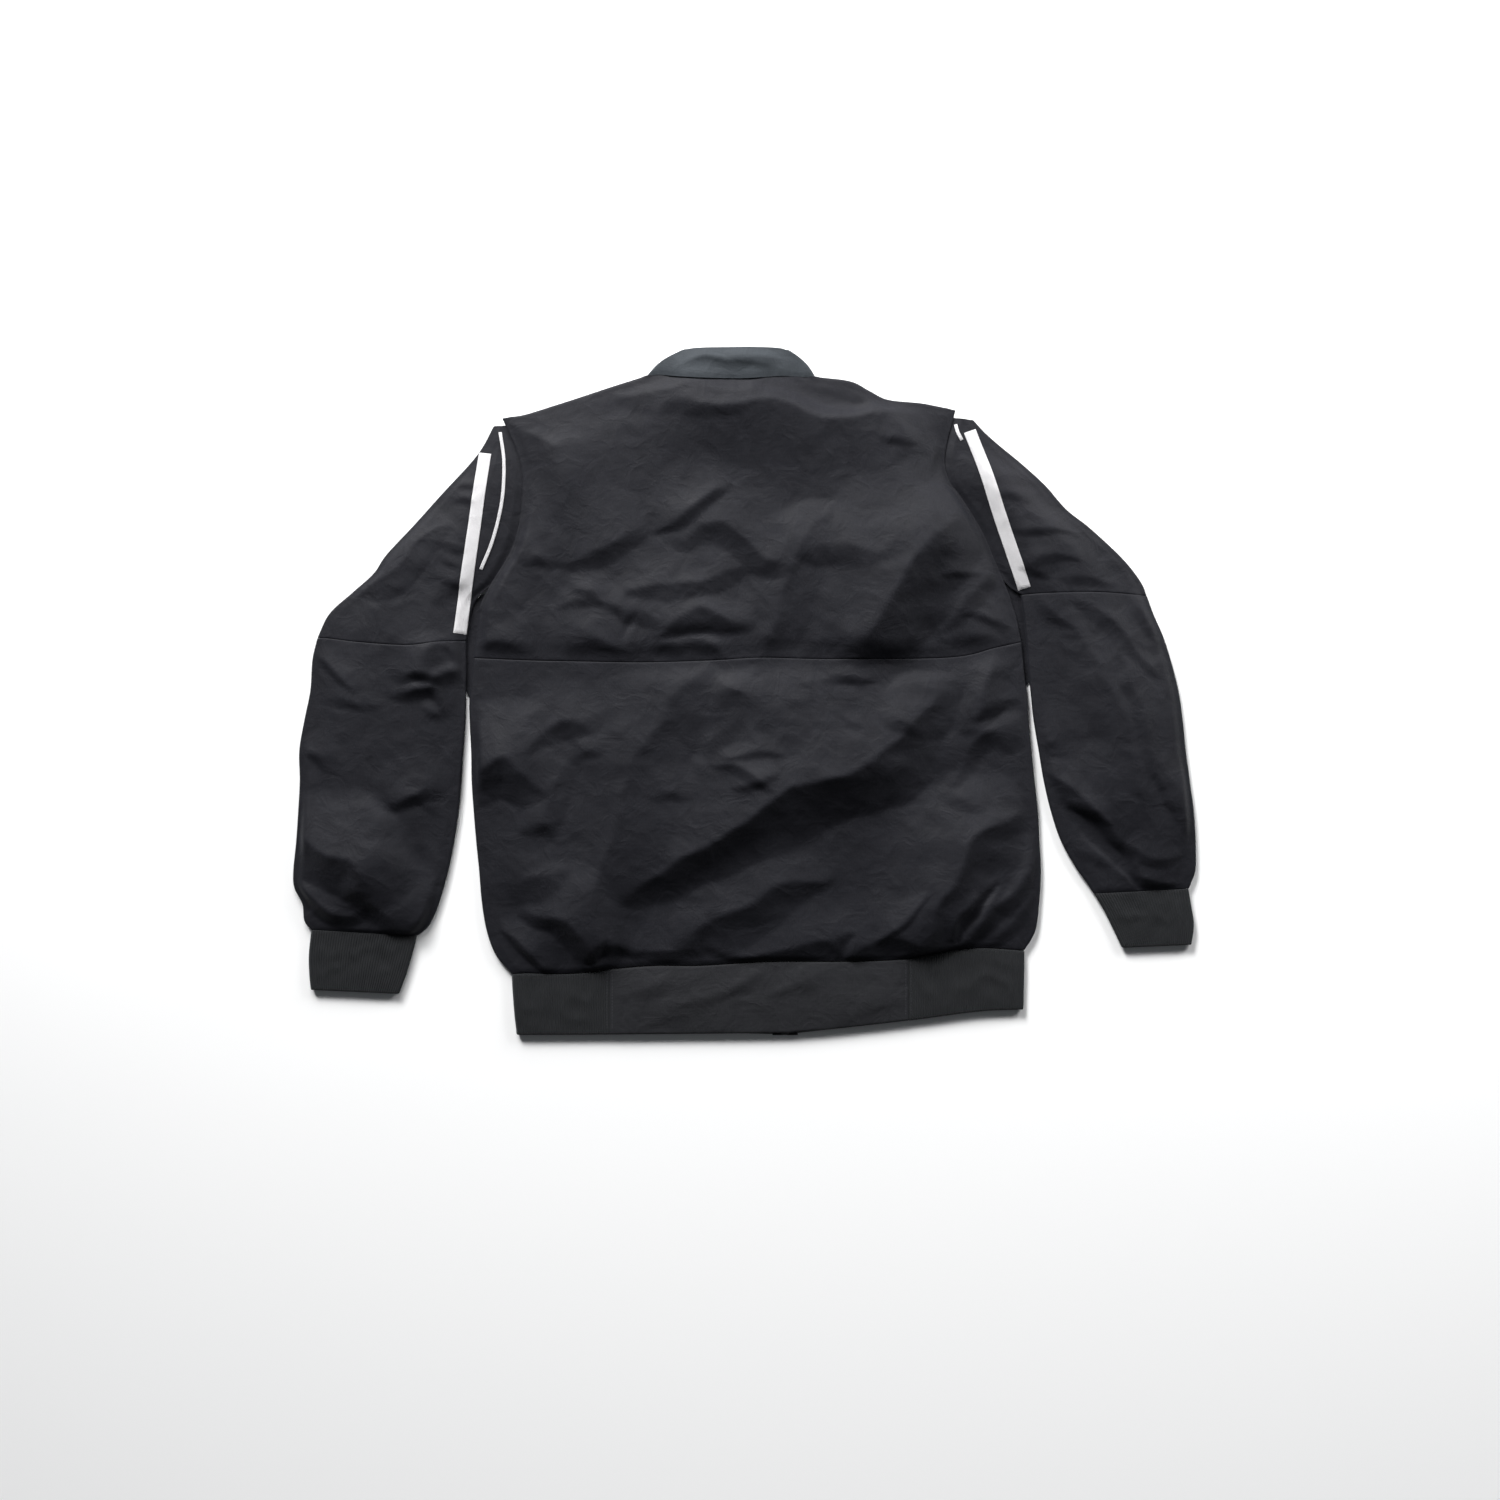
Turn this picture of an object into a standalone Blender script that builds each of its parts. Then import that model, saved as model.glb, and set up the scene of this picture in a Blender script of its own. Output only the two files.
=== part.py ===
"""A zipped track jacket laid flat on its front, so its back shows.

Metres, +Z up. The origin is on the surface that the jacket lies on, under the middle of its
outline; +Y points past the collar and +X past the right sleeve as laid out.

Every cloth piece is a wall of even thickness. Its plan is a patch between smooth edge curves,
and its middle surface lies at a resting height plus the drape, which adds up a short table of
domes and a table of folds. Sizes in the tables are millimetres.
"""

import math
from collections import namedtuple

import bpy
import numpy as np
from mathutils import Matrix, Vector
from mathutils.bvhtree import BVHTree

MM = 0.001
CENTRE_X, CENTRE_Y = 0.5, 0.2  # middle of the outline, which becomes the origin

# Walls and layers
CLOTH = 1.2  # shell cloth with its backing
RIB = 1.8  # rib knit of the cuffs and hem sides
HEM_WALL = 2.0  # doubled cloth of the hem band
COLLAR_WALL = 1.6
STRIP = 0.8  # sewn-on tapes
SEAM = 0.3  # gap between two pieces at a seam
STRIP_GAP = 0.5  # gap under a sewn-on tape, which is stiffer than what carries it
COLLAR_GAP = 1.2  # the collar's base over the neck seam, where the walls lean together
COLLAR_SINK = 0.2  # the back of the collar lies this much lower than the back panel
HEM_GAP = 0.7  # the hem band starts this far below the line of the hem seam
TURN = 2.2  # radius at which cloth turns back under itself at an edge
LAYER = 2 * TURN  # height of a top layer's middle over its bottom layer's middle
FOOT = 0.9  # height at which a turned-down edge ends
LAP = 1.6  # how far a sleeve dips to pass under the edge of the back
LAP_FLAT, LAP_FADE = 3.0, 9.0  # the dip is full this near the armhole, and fades over this far
ARMHOLE_IN = 4.3  # from the armhole seam to the edge of a sleeve's bottom layer
SOFT_FLOOR = 2.0  # how softly hollows level out where cloth meets cloth
FOLD_TAPER = 0.4  # share of a fold's height that is lost by its ends
EDGE_FLAT = 2.0  # no fold is this near an edge
EDGE_FADE = 26.0  # folds die out over this distance from a free edge
SEAM_FADE = 22.0  # and over this distance from a gathered seam
SQUEEZE = 0.12  # share of the folds that is left at a gathered seam
NECK_X, NECK_HALF, NECK_FADE = -14.0, 34.0, 48.0  # where the back stays full up to the collar

# Front closure
ZIP_X_TOP, ZIP_X_HEM = -16.0, 41.0
ZIP_TOP, ZIP_END = 291.0, -342.6
ZIP_BEND_TOP, ZIP_BEND_LONG = 250.0, 560.0  # the stretch over which the closure swings over
ZIP_PAST = 0.2  # the chain ends this far past the hem band
OPENING = 4.5  # from the centre line to the edge of a front
CHAIN_WIDE, CHAIN_THICK = 5.0, 2.4
CHAIN_HEIGHT = 2.7  # middle of the chain over the surface, where nothing lifts it
STRIP_IN, STRIP_OUT = 2.9, 12.5  # a zip tape's edges from the centre line
LIFT, LIFT_NEAR, LIFT_FAR = 4.4, 30.0, 100.0  # the slider props the front up this far round it

# Hidden fronts, which lie just inside the outline of the back
FRONT_IN = 2.1
FRONT_SHOULDER_IN = 2.5
FRONT_HEM_IN = 1.0
THROAT_IN, THROAT_HALF = 2.0, 86.0  # from the collar's base, and half its width at the shoulders
FRONT_TOP_SHARE = 0.36  # share of a front above the armpit, where its rows lie closer
CORNER_CROWD = 0.5  # outline points nearer than this to the hem corner are left out

# Fineness of the meshes
CURVE_STEPS = 12  # pieces of a smooth line between two of its points
CENTRE_STEPS = 40  # points on an edge by the zip
EDGE_ANGLES = np.radians([0, 45, 90, 90])  # a turned-down edge: a quarter circle and a fall
TURN_STEPS = 3  # columns on a half circle
LOW_COLUMNS = 4  # across a bottom layer
BACK_COLUMNS, UPPER_BACK_ROWS, LOWER_BACK_ROWS = 28, 14, 18
CORNER_FLAT, CORNER_FADE = 2, 3  # columns over which a shoulder's turn starts beside the armhole
FRONT_TOP_ROWS, FRONT_LOW_ROWS, FRONT_TOP_COLUMNS, FRONT_COLUMNS = 9, 6, 5, 7
SLEEVE_COLUMNS, UPPER_SLEEVE_ROWS, LOWER_SLEEVE_ROWS = 13, 11, 17
CUFF_COLUMNS, CUFF_ROWS = 9, 5
COLLAR_COLUMNS, COLLAR_FRONT_COLUMNS, COLLAR_ROWS = 17, 7, 6
HEM_COLUMNS, HEM_FRONT_COLUMNS, RIB_COLUMNS, HEM_ROWS, HEM_STEPS = 26, 7, 9, 6, 24
STRIP_ROWS, SHORT_PIPING_ROWS, LONG_PIPING_ROWS = 25, 5, 15
ZIP_ROWS = 18
ROD_SIDES = 16

Dome = namedtuple("Dome", "x y wide long high")
Fold = namedtuple("Fold", "x0 y0 x1 y1 half high")
Side = namedtuple("Side", "x y free")

DOMES = [
    Dome(*row)
    for row in (
        (0, 70, 230, 210, 7.0),  # seat of the shoulder blades
        (0, -170, 230, 100, 4.0),  # fullness over the hem
        (-16, 296, 85, 60, 8.5),  # over the folded collar
        (-362, -60, 70, 150, 8.0),  # left forearm
        (-315, 130, 60, 90, 5.0),  # left upper arm
        (372, -50, 70, 150, 8.0),  # right forearm
        (310, 170, 60, 80, 5.0),  # right upper arm
    )
]

# Folds from end to end: ridges have a positive height, hollows a negative one.
FOLDS = [
    Fold(*row)
    for row in (
        # the long slanting pull over the lower back
        (196, 14, 52, -66, 24, 10.0),
        (60, -62, -49, -163, 22, 12.0),
        (-42, -156, -136, -252, 16, 10.0),
        (150, -72, 30, -128, 20, -8.0),
        (30, -128, -48, -190, 15, -7.0),
        (151, -143, -36, -168, 19, 7.0),
        (-30, -168, -114, -244, 16, 8.0),
        (70, -182, -39, -236, 13, -5.0),
        # right side of the lower back
        (276, -70, 190, -226, 18, -6.0),
        (288, -118, 216, -236, 13, 8.0),
        (238, -78, 152, -206, 20, 7.0),
        (262, 30, 236, -60, 12, 5.0),
        (225, 5, 120, -6, 12, 3.0),
        # left side of the lower back
        (-64, 15, -136, -236, 15, -7.0),
        (-96, 4, -184, -226, 18, 8.0),
        (-252, -64, -190, -104, 11, 5.0),
        (-258, -96, -206, -108, 11, -4.0),
        (-215, -8, -165, -60, 11, 3.5),
        (-228, -150, -205, -230, 14, 4.0),
        (-20, -20, 0, -90, 14, 3.0),
        # gathers over the hem band
        (-246, -218, -178, -266, 9, 7.0),
        (-222, -205, -196, -258, 7, 4.0),
        (-172, -218, -148, -270, 8, 6.5),
        (-140, -236, -104, -262, 7, 5.0),
        (-70, -238, -48, -266, 8, 3.5),
        (30, -224, 6, -262, 9, 4.0),
        (122, -208, 84, -258, 9, 5.0),
        (202, -198, 150, -252, 10, 6.0),
        (244, -208, 212, -252, 6, 5.5),
        (262, -204, 242, -250, 6, 5.0),
        (280, -196, 268, -246, 6, 4.0),
        # upper back
        (-116, 145, -28, 208, 15, 6.0),
        (-40, 178, 36, 122, 12, 5.5),
        (-36, 152, 30, 104, 9, -3.0),
        (61, 166, 24, 36, 19, 8.0),
        (216, 186, 108, 44, 18, 10.0),
        (200, 130, 150, 56, 22, -6.0),
        (252, 108, 206, 50, 12, 4.0),
        (-112, 94, -30, 114, 9, 4.0),
        (-62, 70, 20, 76, 9, 4.5),
        (-66, 74, -8, 56, 9, -4.0),
        (-196, 112, -112, 74, 12, 4.0),
        (-206, 210, -232, 100, 11, 5.0),
        (-190, 60, -130, 46, 10, 3.0),
        (-244, 60, -226, 40, 9, 3.0),
        (4, 306, 62, 284, 8, 4.5),
        (62, 284, 166, 268, 8, 5.5),
        (192, 262, 214, 196, 10, 4.0),
        (110, 294, 150, 284, 14, 3.0),
        # left sleeve
        (-384, -70, -369, -178, 18, 6.0),
        (-369, -178, -316, -236, 15, 5.0),
        (-432, -118, -398, -196, 13, -4.0),
        (-436, -190, -386, -222, 9, 5.0),
        (-392, -206, -360, -232, 7, 4.0),
        (-332, 34, -300, 8, 8, 4.5),
        (-330, -12, -302, 6, 8, 4.5),
        (-318, -40, -300, 4, 8, 4.0),
        (-306, -90, -330, -160, 12, 3.5),
        (-402, 60, -352, 120, 16, 4.0),
        (-380, 98, -312, 148, 12, 3.5),
        (-300, 190, -262, 150, 12, 3.0),
        # right sleeve
        (316, 58, 388, -150, 16, 7.0),
        (362, 62, 426, -132, 15, 5.0),
        (318, -116, 394, -192, 6, -6.0),
        (334, -102, 408, -178, 12, 6.0),
        (330, -142, 372, -190, 9, 4.0),
        (300, 196, 360, 120, 14, 3.5),
        (262, 216, 318, 140, 12, 3.0),
        # hem band between the ribs
        (-112, -284, -132, -318, 6, 2.2),
        (-66, -282, -96, -322, 7, 2.6),
        (-22, -280, -52, -316, 7, 2.2),
        (20, -280, -16, -324, 7, 2.6),
        (70, -278, 40, -316, 8, 2.2),
        (118, -276, 96, -312, 8, 1.8),
    )
]

# Seam and edge lines in plan. A side's free is 1 where its edge turns down, 0 at a seam.
SHOULDER_LEFT = [(-241, 273), (-219, 277), (-193, 285), (-168, 293), (-132, 305), (-97, 316)]
NECK_SEAM_LEFT, NECK_SEAM_RIGHT, NECK_SEAM_FADE = -104.0, 78.0, 8.0
NECK = [(-97, 316), (-84, 317.5), (-64, 314.5), (-40, 312.5), (4, 312.5), (40, 315.5), (71, 315)]
SHOULDER_RIGHT = [(71, 315), (106, 310.5), (125, 301), (144, 292), (180, 288), (211, 281)]
BACK_SEAM = [
    (-270, 34), (-214, 31.5), (-166, 30.5), (-98, 29.5), (-28, 31.5), (18, 34), (96, 32.5),
    (206, 34.5), (250, 44), (277, 50),
]
HEM_SEAM = [
    (-232, -281), (-215, -280), (-187, -281), (-157, -279.5), (-127, -275.5), (-87, -272.5),
    (-44, -272.5), (25, -268.5), (96, -268.5), (156, -266.5), (185, -261), (233, -255),
    (280, -257.5),
]
HEM_EDGE = [
    (-227, -342), (-134, -341.5), (25, -340), (58, -338.5), (94, -335.5), (173, -326.5),
    (235, -318.5), (279, -316.5),
]
UPPER_LEFT = [
    Side(*row)
    for row in (
        (-241, 273, 0), (-228, 243, 0), (-221, 216, 0), (-222, 182, 0), (-231, 144, 0),
        (-251, 110, 0), (-263, 86, 0), (-266, 62, 1), (-270, 34, 1),
    )
]
UPPER_RIGHT = [
    Side(*row)
    for row in (
        (211, 281, 0), (203, 252, 0), (200, 228, 0), (206, 208, 0), (216, 195, 0),
        (237, 161, 0), (251, 129, 0), (264, 98, 0), (272, 74, 1), (277, 50, 1),
    )
]
LOWER_LEFT = [
    (-270, 34), (-274, -5), (-274, -28), (-272.5, -58), (-272, -88), (-270, -118), (-267.5, -148),
    (-264.5, -178), (-262, -208), (-257, -238), (-248, -262), (-232, -281),
]
LOWER_RIGHT = [
    (277, 50), (280, 18), (283, -8), (284, -28), (287, -58), (290, -88), (293.5, -118),
    (295, -148), (296.5, -178), (295, -208), (291, -238), (280, -257.5),
]

# Sleeves, a row for each section: the left and the right end of the section, in plan.
Section = namedtuple("Section", "ax ay bx by free")
SLEEVE_UPPER_LEFT = [
    Section(*row)
    for row in (
        (-250, 265, -237, 266, 0), (-261, 244, -225, 240, 0), (-274, 227, -218, 215, 0),
        (-302, 197, -219, 190, 0), (-329, 167, -222, 166, 0), (-357, 137, -230, 142, 0),
        (-370, 118, -246, 113, 0), (-391, 99, -266, 94, 0), (-414, 78, -273, 76, 1),
        (-426, 54, -277, 51, 1),
    )
]
SLEEVE_LOWER_LEFT = [
    Section(*row)
    for row in (
        (-426, 54, -277, 51, 1), (-431, 32, -277, 25, 1), (-433, 2, -277.5, 0, 1),
        (-439, -28, -278, -28, 1), (-444, -58, -280, -58, 1), (-443.5, -88, -282, -88, 1),
        (-445, -118, -284.5, -118, 1), (-447, -148, -289, -148, 1), (-450, -178, -295, -178, 1),
        (-449, -195, -301, -200, 1), (-441, -211, -307, -218, 1), (-439, -228, -315, -234, 1),
        (-432, -237, -326, -243, 1),
    )
]
SLEEVE_UPPER_RIGHT = [
    Section(*row)
    for row in (
        (207, 274, 229, 271, 0), (200, 250, 240, 259, 0), (197, 228, 256, 245, 0),
        (203, 206, 278, 227, 0), (213, 193, 301, 206, 0), (224, 177, 322, 182, 0),
        (234, 159, 346, 163, 0), (248, 127, 378, 133, 0), (264, 106, 396, 110, 0),
        (276, 97, 402, 96, 1),
    )
]
SLEEVE_LOWER_RIGHT = [
    Section(*row)
    for row in (
        (276, 97, 402, 96, 1), (279, 77, 409, 77, 1), (282, 50, 419, 54, 1),
        (284, 20, 428, 25, 1), (286, 0, 434, 0, 1), (289, -28, 438, -28, 1),
        (294, -58, 441, -58, 1), (299, -88, 445, -88, 1), (306, -118, 449, -118, 1),
        (316, -148, 451, -148, 1), (331, -175, 451, -176, 1), (341, -189, 447, -189, 1),
        (349, -201, 444, -196, 1),
    )
]
CUFF_LEFT = [
    Section(*row)
    for row in (
        (-432, -237, -326, -243, 1), (-434.5, -262, -331, -262, 1), (-434, -282, -337, -282, 1),
        (-432.5, -297, -344, -301, 1),
    )
]
CUFF_RIGHT = [
    Section(*row)
    for row in (
        (349, -201, 444, -196, 1), (358, -216, 446.5, -212, 1), (368, -236, 449.5, -232, 1),
        (377, -255, 447, -252, 1),
    )
]
ELBOW_LEFT = [(-426, 54), (-414, 53.5), (-381, 49.5), (-334, 46.5), (-304, 50), (-277, 51)]
ELBOW_RIGHT = [(276, 97), (300, 98.5), (353, 99.5), (402, 96)]

# Collar: its outer ends, top edge and base, then the hidden front halves down to the zip
COLLAR_TOP = [(-58, 339), (-54, 341.5), (-24, 342.6), (31, 342.8), (44, 340)]
COLLAR_LEFT = [(-58, 339), (-66, 336), (-83, 328), (-97, 317)]
COLLAR_RIGHT = [(44, 340), (54, 334), (63, 326), (71, 316.6)]
FRONT_NECK_LEFT = [(-97, 317), (-90, 290), (-62, 268), (ZIP_X_TOP - OPENING, 259)]
FRONT_NECK_RIGHT = [(ZIP_X_TOP + OPENING, 259), (32, 268), (62, 290), (71, 316.6)]
FRONT_COLLAR_LEFT = [(-58, 339), (-52, 318), (-40, 300), (ZIP_X_TOP - OPENING, 291)]
FRONT_COLLAR_RIGHT = [(ZIP_X_TOP + OPENING, 291), (14, 300), (34, 318), (44, 340)]

# Hem band: where the rib sides meet the middle, on top and underneath
RIB_LEFT_X, RIB_RIGHT_X = -134.0, 164.0
FRONT_DROP, FRONT_DROP_FADE = 1.6, 60.0  # the front of the band hangs lower by the zip
HEM_FOLD_SHARE, HEM_END_FADE = 0.42, 20.0  # the doubled band takes up less of the folds

# Strips on the sleeves, along their middles
TAPE_WIDE, PIPING_WIDE = 12.5, 3.2
TAPE_LEFT = [(-258, 238), (-264, 196), (-270, 152), (-277, 104), (-283, 58)]
TAPE_RIGHT = [(225, 260), (239, 222), (254, 176), (268, 136), (279.5, 103)]
PIPING_LEFT = [(-243, 259), (-239, 228), (-241, 190), (-250, 152), (-262, 122)]
PIPING_RIGHT = [(211, 267), (213, 259), (217, 251)]

# Zip slider and pull tab
SLIDER_LONG, SLIDER_WIDE, SLIDER_NARROW, SLIDER_THICK = 9.0, 8.0, 5.6, 4.8
PIN_DROP, PIN_RADIUS = 2.2, 0.6
EAR_THICK, EAR_APART, EAR_LONG = 1.0, 3.6, 3.2
EAR_PAST_PIN, EAR_ROOT = 0.8, 0.6  # an ear ends past its pin and starts inside the slider
KNUCKLE_RADIUS, KNUCKLE_BORE, KNUCKLE_WIDE = 1.5, 0.95, 2.8
TAB_LONG, TAB_WIDE, TAB_THICK = 18.8, 6.0, 1.2
TAB_START = 2.6  # from the hinge's axis to the wide part of the tab
TAB_NECK_LONG, TAB_NECK_Y = 3.0, -2.4
SLIDER_Y = ZIP_TOP + 5.0

SHELL_COLOUR = (0.026, 0.027, 0.033)
RIB_COLOUR = (0.023, 0.025, 0.026)
BAND_COLOUR = (0.027, 0.028, 0.034)
COLLAR_COLOUR = (0.030, 0.033, 0.038)
WHITE_COLOUR = (0.78, 0.76, 0.78)
ZIP_COLOUR = (0.02, 0.02, 0.022)
METAL_COLOUR = (0.32, 0.32, 0.34)


# ---- scene and materials ----


def clear_scene():
    for thing in list(bpy.data.objects):
        bpy.data.objects.remove(thing, do_unlink=True)


def finish(name, colour, roughness=0.6, metallic=0.0):
    """A plain Principled material."""
    made = bpy.data.materials.new(name)
    made.use_nodes = True
    shader = made.node_tree.nodes["Principled BSDF"]
    shader.inputs["Base Color"].default_value = (*colour, 1)
    shader.inputs["Roughness"].default_value = roughness
    shader.inputs["Metallic"].default_value = metallic
    return made


def add_mesh(name, points, faces, material, collection):
    """An object from points in millimetres, moved so that the outline's middle is the origin."""
    mesh = bpy.data.meshes.new(name)
    placed = (np.asarray(points) - (CENTRE_X, CENTRE_Y, 0)) * MM
    mesh.from_pydata(placed.tolist(), [], faces)
    mesh.materials.append(material)
    mesh.shade_smooth()
    thing = bpy.data.objects.new(name, mesh)
    collection.objects.link(thing)
    return thing


# ---- curves and patches ----


def smooth(points):
    """A smooth line through plan points: cubic pieces whose slopes follow their neighbours."""
    p = np.array([row[:2] for row in points], float)
    if len(p) == 2:
        return p
    slope = np.gradient(p, axis=0)
    t = np.linspace(0, 1, CURVE_STEPS, endpoint=False)[:, None]
    runs = []
    for i in range(len(p) - 1):
        runs.append(
            (2 * t**3 - 3 * t**2 + 1) * p[i]
            + (t**3 - 2 * t**2 + t) * slope[i]
            + (3 * t**2 - 2 * t**3) * p[i + 1]
            + (t**3 - t**2) * slope[i + 1]
        )
    return np.vstack(runs + [p[-1:]])


def along(line, share):
    """The plan points at these shares of a line's length."""
    run = np.concatenate([[0], np.cumsum(np.linalg.norm(np.diff(line, axis=0), axis=1))])
    at = np.asarray(share) * run[-1]
    return np.stack([np.interp(at, run, line[:, k]) for k in (0, 1)], axis=-1)


def length(line):
    return float(np.linalg.norm(np.diff(line, axis=0), axis=1).sum())


def rows_between(seams, tall, count):
    """Row shares down a piece of this length, half a gap short of the seams at its ends."""
    start, end = (half * SEAM / 2 / tall for half in seams)
    return np.linspace(start, 1 - end, count)


def patch(top, bottom, left, right, u, v):
    """Coons patch: the two blends between facing edges, less the blend of the corners."""
    u, v = np.broadcast_arrays(u, np.asarray(v)[:, None])
    a, b = u[..., None], v[..., None]
    corners = (1 - b) * ((1 - a) * top[0] + a * top[-1])
    corners = corners + b * ((1 - a) * bottom[0] + a * bottom[-1])
    across = (1 - a) * along(left, v) + a * along(right, v)
    down = (1 - b) * along(top, u) + b * along(bottom, u)
    return across + down - corners


def ease(t):
    """0 to 1 with level ends."""
    t = np.clip(t, 0, 1)
    return t * t * (3 - 2 * t)


def offset(line, distance):
    """The line moved to the left of its run by a distance."""
    run = np.gradient(line, axis=0)
    run /= np.linalg.norm(run, axis=1)[:, None]
    return line + distance * np.stack([-run[:, 1], run[:, 0]], axis=1)


# ---- heights ----


def drape(x, y):
    """How far loose cloth stands over its resting height. Each fold is a bell across its line
    that fades past the ends, and the sum is levelled softly so that it never goes below 0."""
    total = np.zeros(np.broadcast(x, y).shape)
    for dome in DOMES:
        total += dome.high * np.exp(
            -(((x - dome.x) / dome.wide) ** 2) - ((y - dome.y) / dome.long) ** 2
        )
    for fold in FOLDS:
        run = math.hypot(fold.x1 - fold.x0, fold.y1 - fold.y0)
        dx, dy = (fold.x1 - fold.x0) / run, (fold.y1 - fold.y0) / run
        on = ((x - fold.x0) * dx + (y - fold.y0) * dy) / run
        off = (y - fold.y0) * dx - (x - fold.x0) * dy
        past = np.maximum(np.maximum(-on, on - 1), 0) * run
        swell = 1 - FOLD_TAPER * np.clip(np.abs(2 * on - 1), 0, 1) ** 3
        total += fold.high * swell * np.exp(-((off / fold.half) ** 2) - (past / fold.half) ** 2)
    return 0.5 * (total + np.sqrt(total**2 + SOFT_FLOOR**2))


def front_lift(x, y):
    """How far the slider lifts the layers that lie face down."""
    away = np.hypot(x - ZIP_X_TOP, y - ZIP_TOP)
    return LIFT * (1 - ease((away - LIFT_NEAR) / (LIFT_FAR - LIFT_NEAR)))


def neck(x):
    """1 behind the neck, 0 out on the shoulders."""
    return 1 - ease((np.abs(x - NECK_X) - NECK_HALF) / NECK_FADE)


def zip_x(y):
    """The closure's X at these heights: it swings over from the throat to the hem."""
    return ZIP_X_TOP + (ZIP_X_HEM - ZIP_X_TOP) * ease((ZIP_BEND_TOP - y) / ZIP_BEND_LONG)


def centre_line(y0, y1, side):
    """The edge by the zip of what lies on one side of it."""
    y = np.linspace(y0, y1, CENTRE_STEPS)
    return np.stack([zip_x(y) + side * OPENING, y], axis=1)


# ---- walls ----


def directions(grid, closed):
    """Unit normals of a grid of points: rows run down the piece, columns run to its right."""
    down = np.gradient(grid, axis=0)
    if closed:
        right = np.roll(grid, -1, axis=1) - np.roll(grid, 1, axis=1)
    else:
        right = np.gradient(grid, axis=1)
    normal = np.cross(down, right)
    return normal / np.linalg.norm(normal, axis=2)[..., None]


def wall(name, grid, thick, material, collection, closed=False, square=(0, -1)):
    """A closed wall round a grid of middle points: half its thickness out, half in, and a rim.
    Each cell is split along its more level diagonal, so that ridges run clean. The rows in
    square end in a face that stands upright across the piece."""
    normal = directions(grid, closed)
    for row in square:
        down = np.array((0.0, 1.0, 0.0))
        normal[row] -= (normal[row] @ down)[:, None] * down
        normal[row] /= np.linalg.norm(normal[row], axis=1)[:, None]
    rows, columns = grid.shape[:2]
    outer, inner = grid + normal * thick / 2, grid - normal * thick / 2
    points = np.concatenate([outer.reshape(-1, 3), inner.reshape(-1, 3)])
    index = np.arange(rows * columns).reshape(rows, columns)
    back = index + rows * columns
    ring = np.concatenate([index, index[:, :1]], axis=1) if closed else index
    rear = np.concatenate([back, back[:, :1]], axis=1) if closed else back

    def quads(a, b, c, d):
        return np.stack([a.ravel(), b.ravel(), c.ravel(), d.ravel()], axis=1).tolist()

    z = grid.reshape(-1, 3)[:, 2]
    a, b, c, d = ring[:-1, :-1], ring[1:, :-1], ring[1:, 1:], ring[:-1, 1:]
    first = (np.abs(z[a] - z[c]) <= np.abs(z[b] - z[d]))[..., None]
    pairs = np.concatenate(
        [
            np.where(first, np.stack([a, b, c], -1), np.stack([a, b, d], -1)).reshape(-1, 3),
            np.where(first, np.stack([a, c, d], -1), np.stack([b, c, d], -1)).reshape(-1, 3),
        ]
    )
    faces = pairs.tolist() + (pairs[:, ::-1] + rows * columns).tolist()
    faces += quads(ring[0, :-1], ring[0, 1:], rear[0, 1:], rear[0, :-1])
    faces += quads(ring[-1, :-1], rear[-1, :-1], rear[-1, 1:], ring[-1, 1:])
    if not closed:
        faces += quads(index[:-1, 0], back[:-1, 0], back[1:, 0], index[1:, 0])
        faces += quads(index[:-1, -1], index[1:, -1], back[1:, -1], back[:-1, -1])
    return add_mesh(name, points, faces, material, collection)


def turn(start, end, out):
    """Columns on a half circle from one column to another, bulging towards out (+1 is +X)."""
    middle, reach = (start + end) / 2, (end - start) / 2
    radius = np.linalg.norm(reach, axis=-1)[:, None]
    columns = []
    for k in range(1, TURN_STEPS + 1):
        angle = math.pi * k / (TURN_STEPS + 1)
        swing = np.concatenate([out * radius * math.sin(angle), 0 * radius, 0 * radius], axis=1)
        columns.append(middle - reach * math.cos(angle) + swing)
    return np.stack(columns, axis=1)


def turned_edge(free):
    """Distances from a side edge, drops and shares of the fall to the foot, of four columns:
    they lie level at a seam, and follow a quarter circle and a short fall where it is free."""
    curl = TURN * (1 - np.sin(EDGE_ANGLES)) + CLOTH / 2
    level = np.linspace(TURN + EDGE_FLAT, SEAM / 2, len(EDGE_ANGLES))
    drop = TURN * (1 - np.cos(EDGE_ANGLES))
    last = np.arange(len(EDGE_ANGLES)) == len(EDGE_ANGLES) - 1
    free = np.asarray(free)[:, None]
    return free * curl + (1 - free) * level, free * drop, free * last


def side_line(rows):
    """A side's smooth line and, for shares of its length, how free its edge is."""
    line = smooth(rows)
    run = np.linspace(0, 1, len(line))
    free = np.interp(run * (len(rows) - 1), range(len(rows)), [row.free for row in rows])
    walked = np.concatenate([[0], np.cumsum(np.linalg.norm(np.diff(line, axis=0), axis=1))])
    return line, lambda share: ease(np.interp(share * walked[-1], walked, free))


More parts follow.
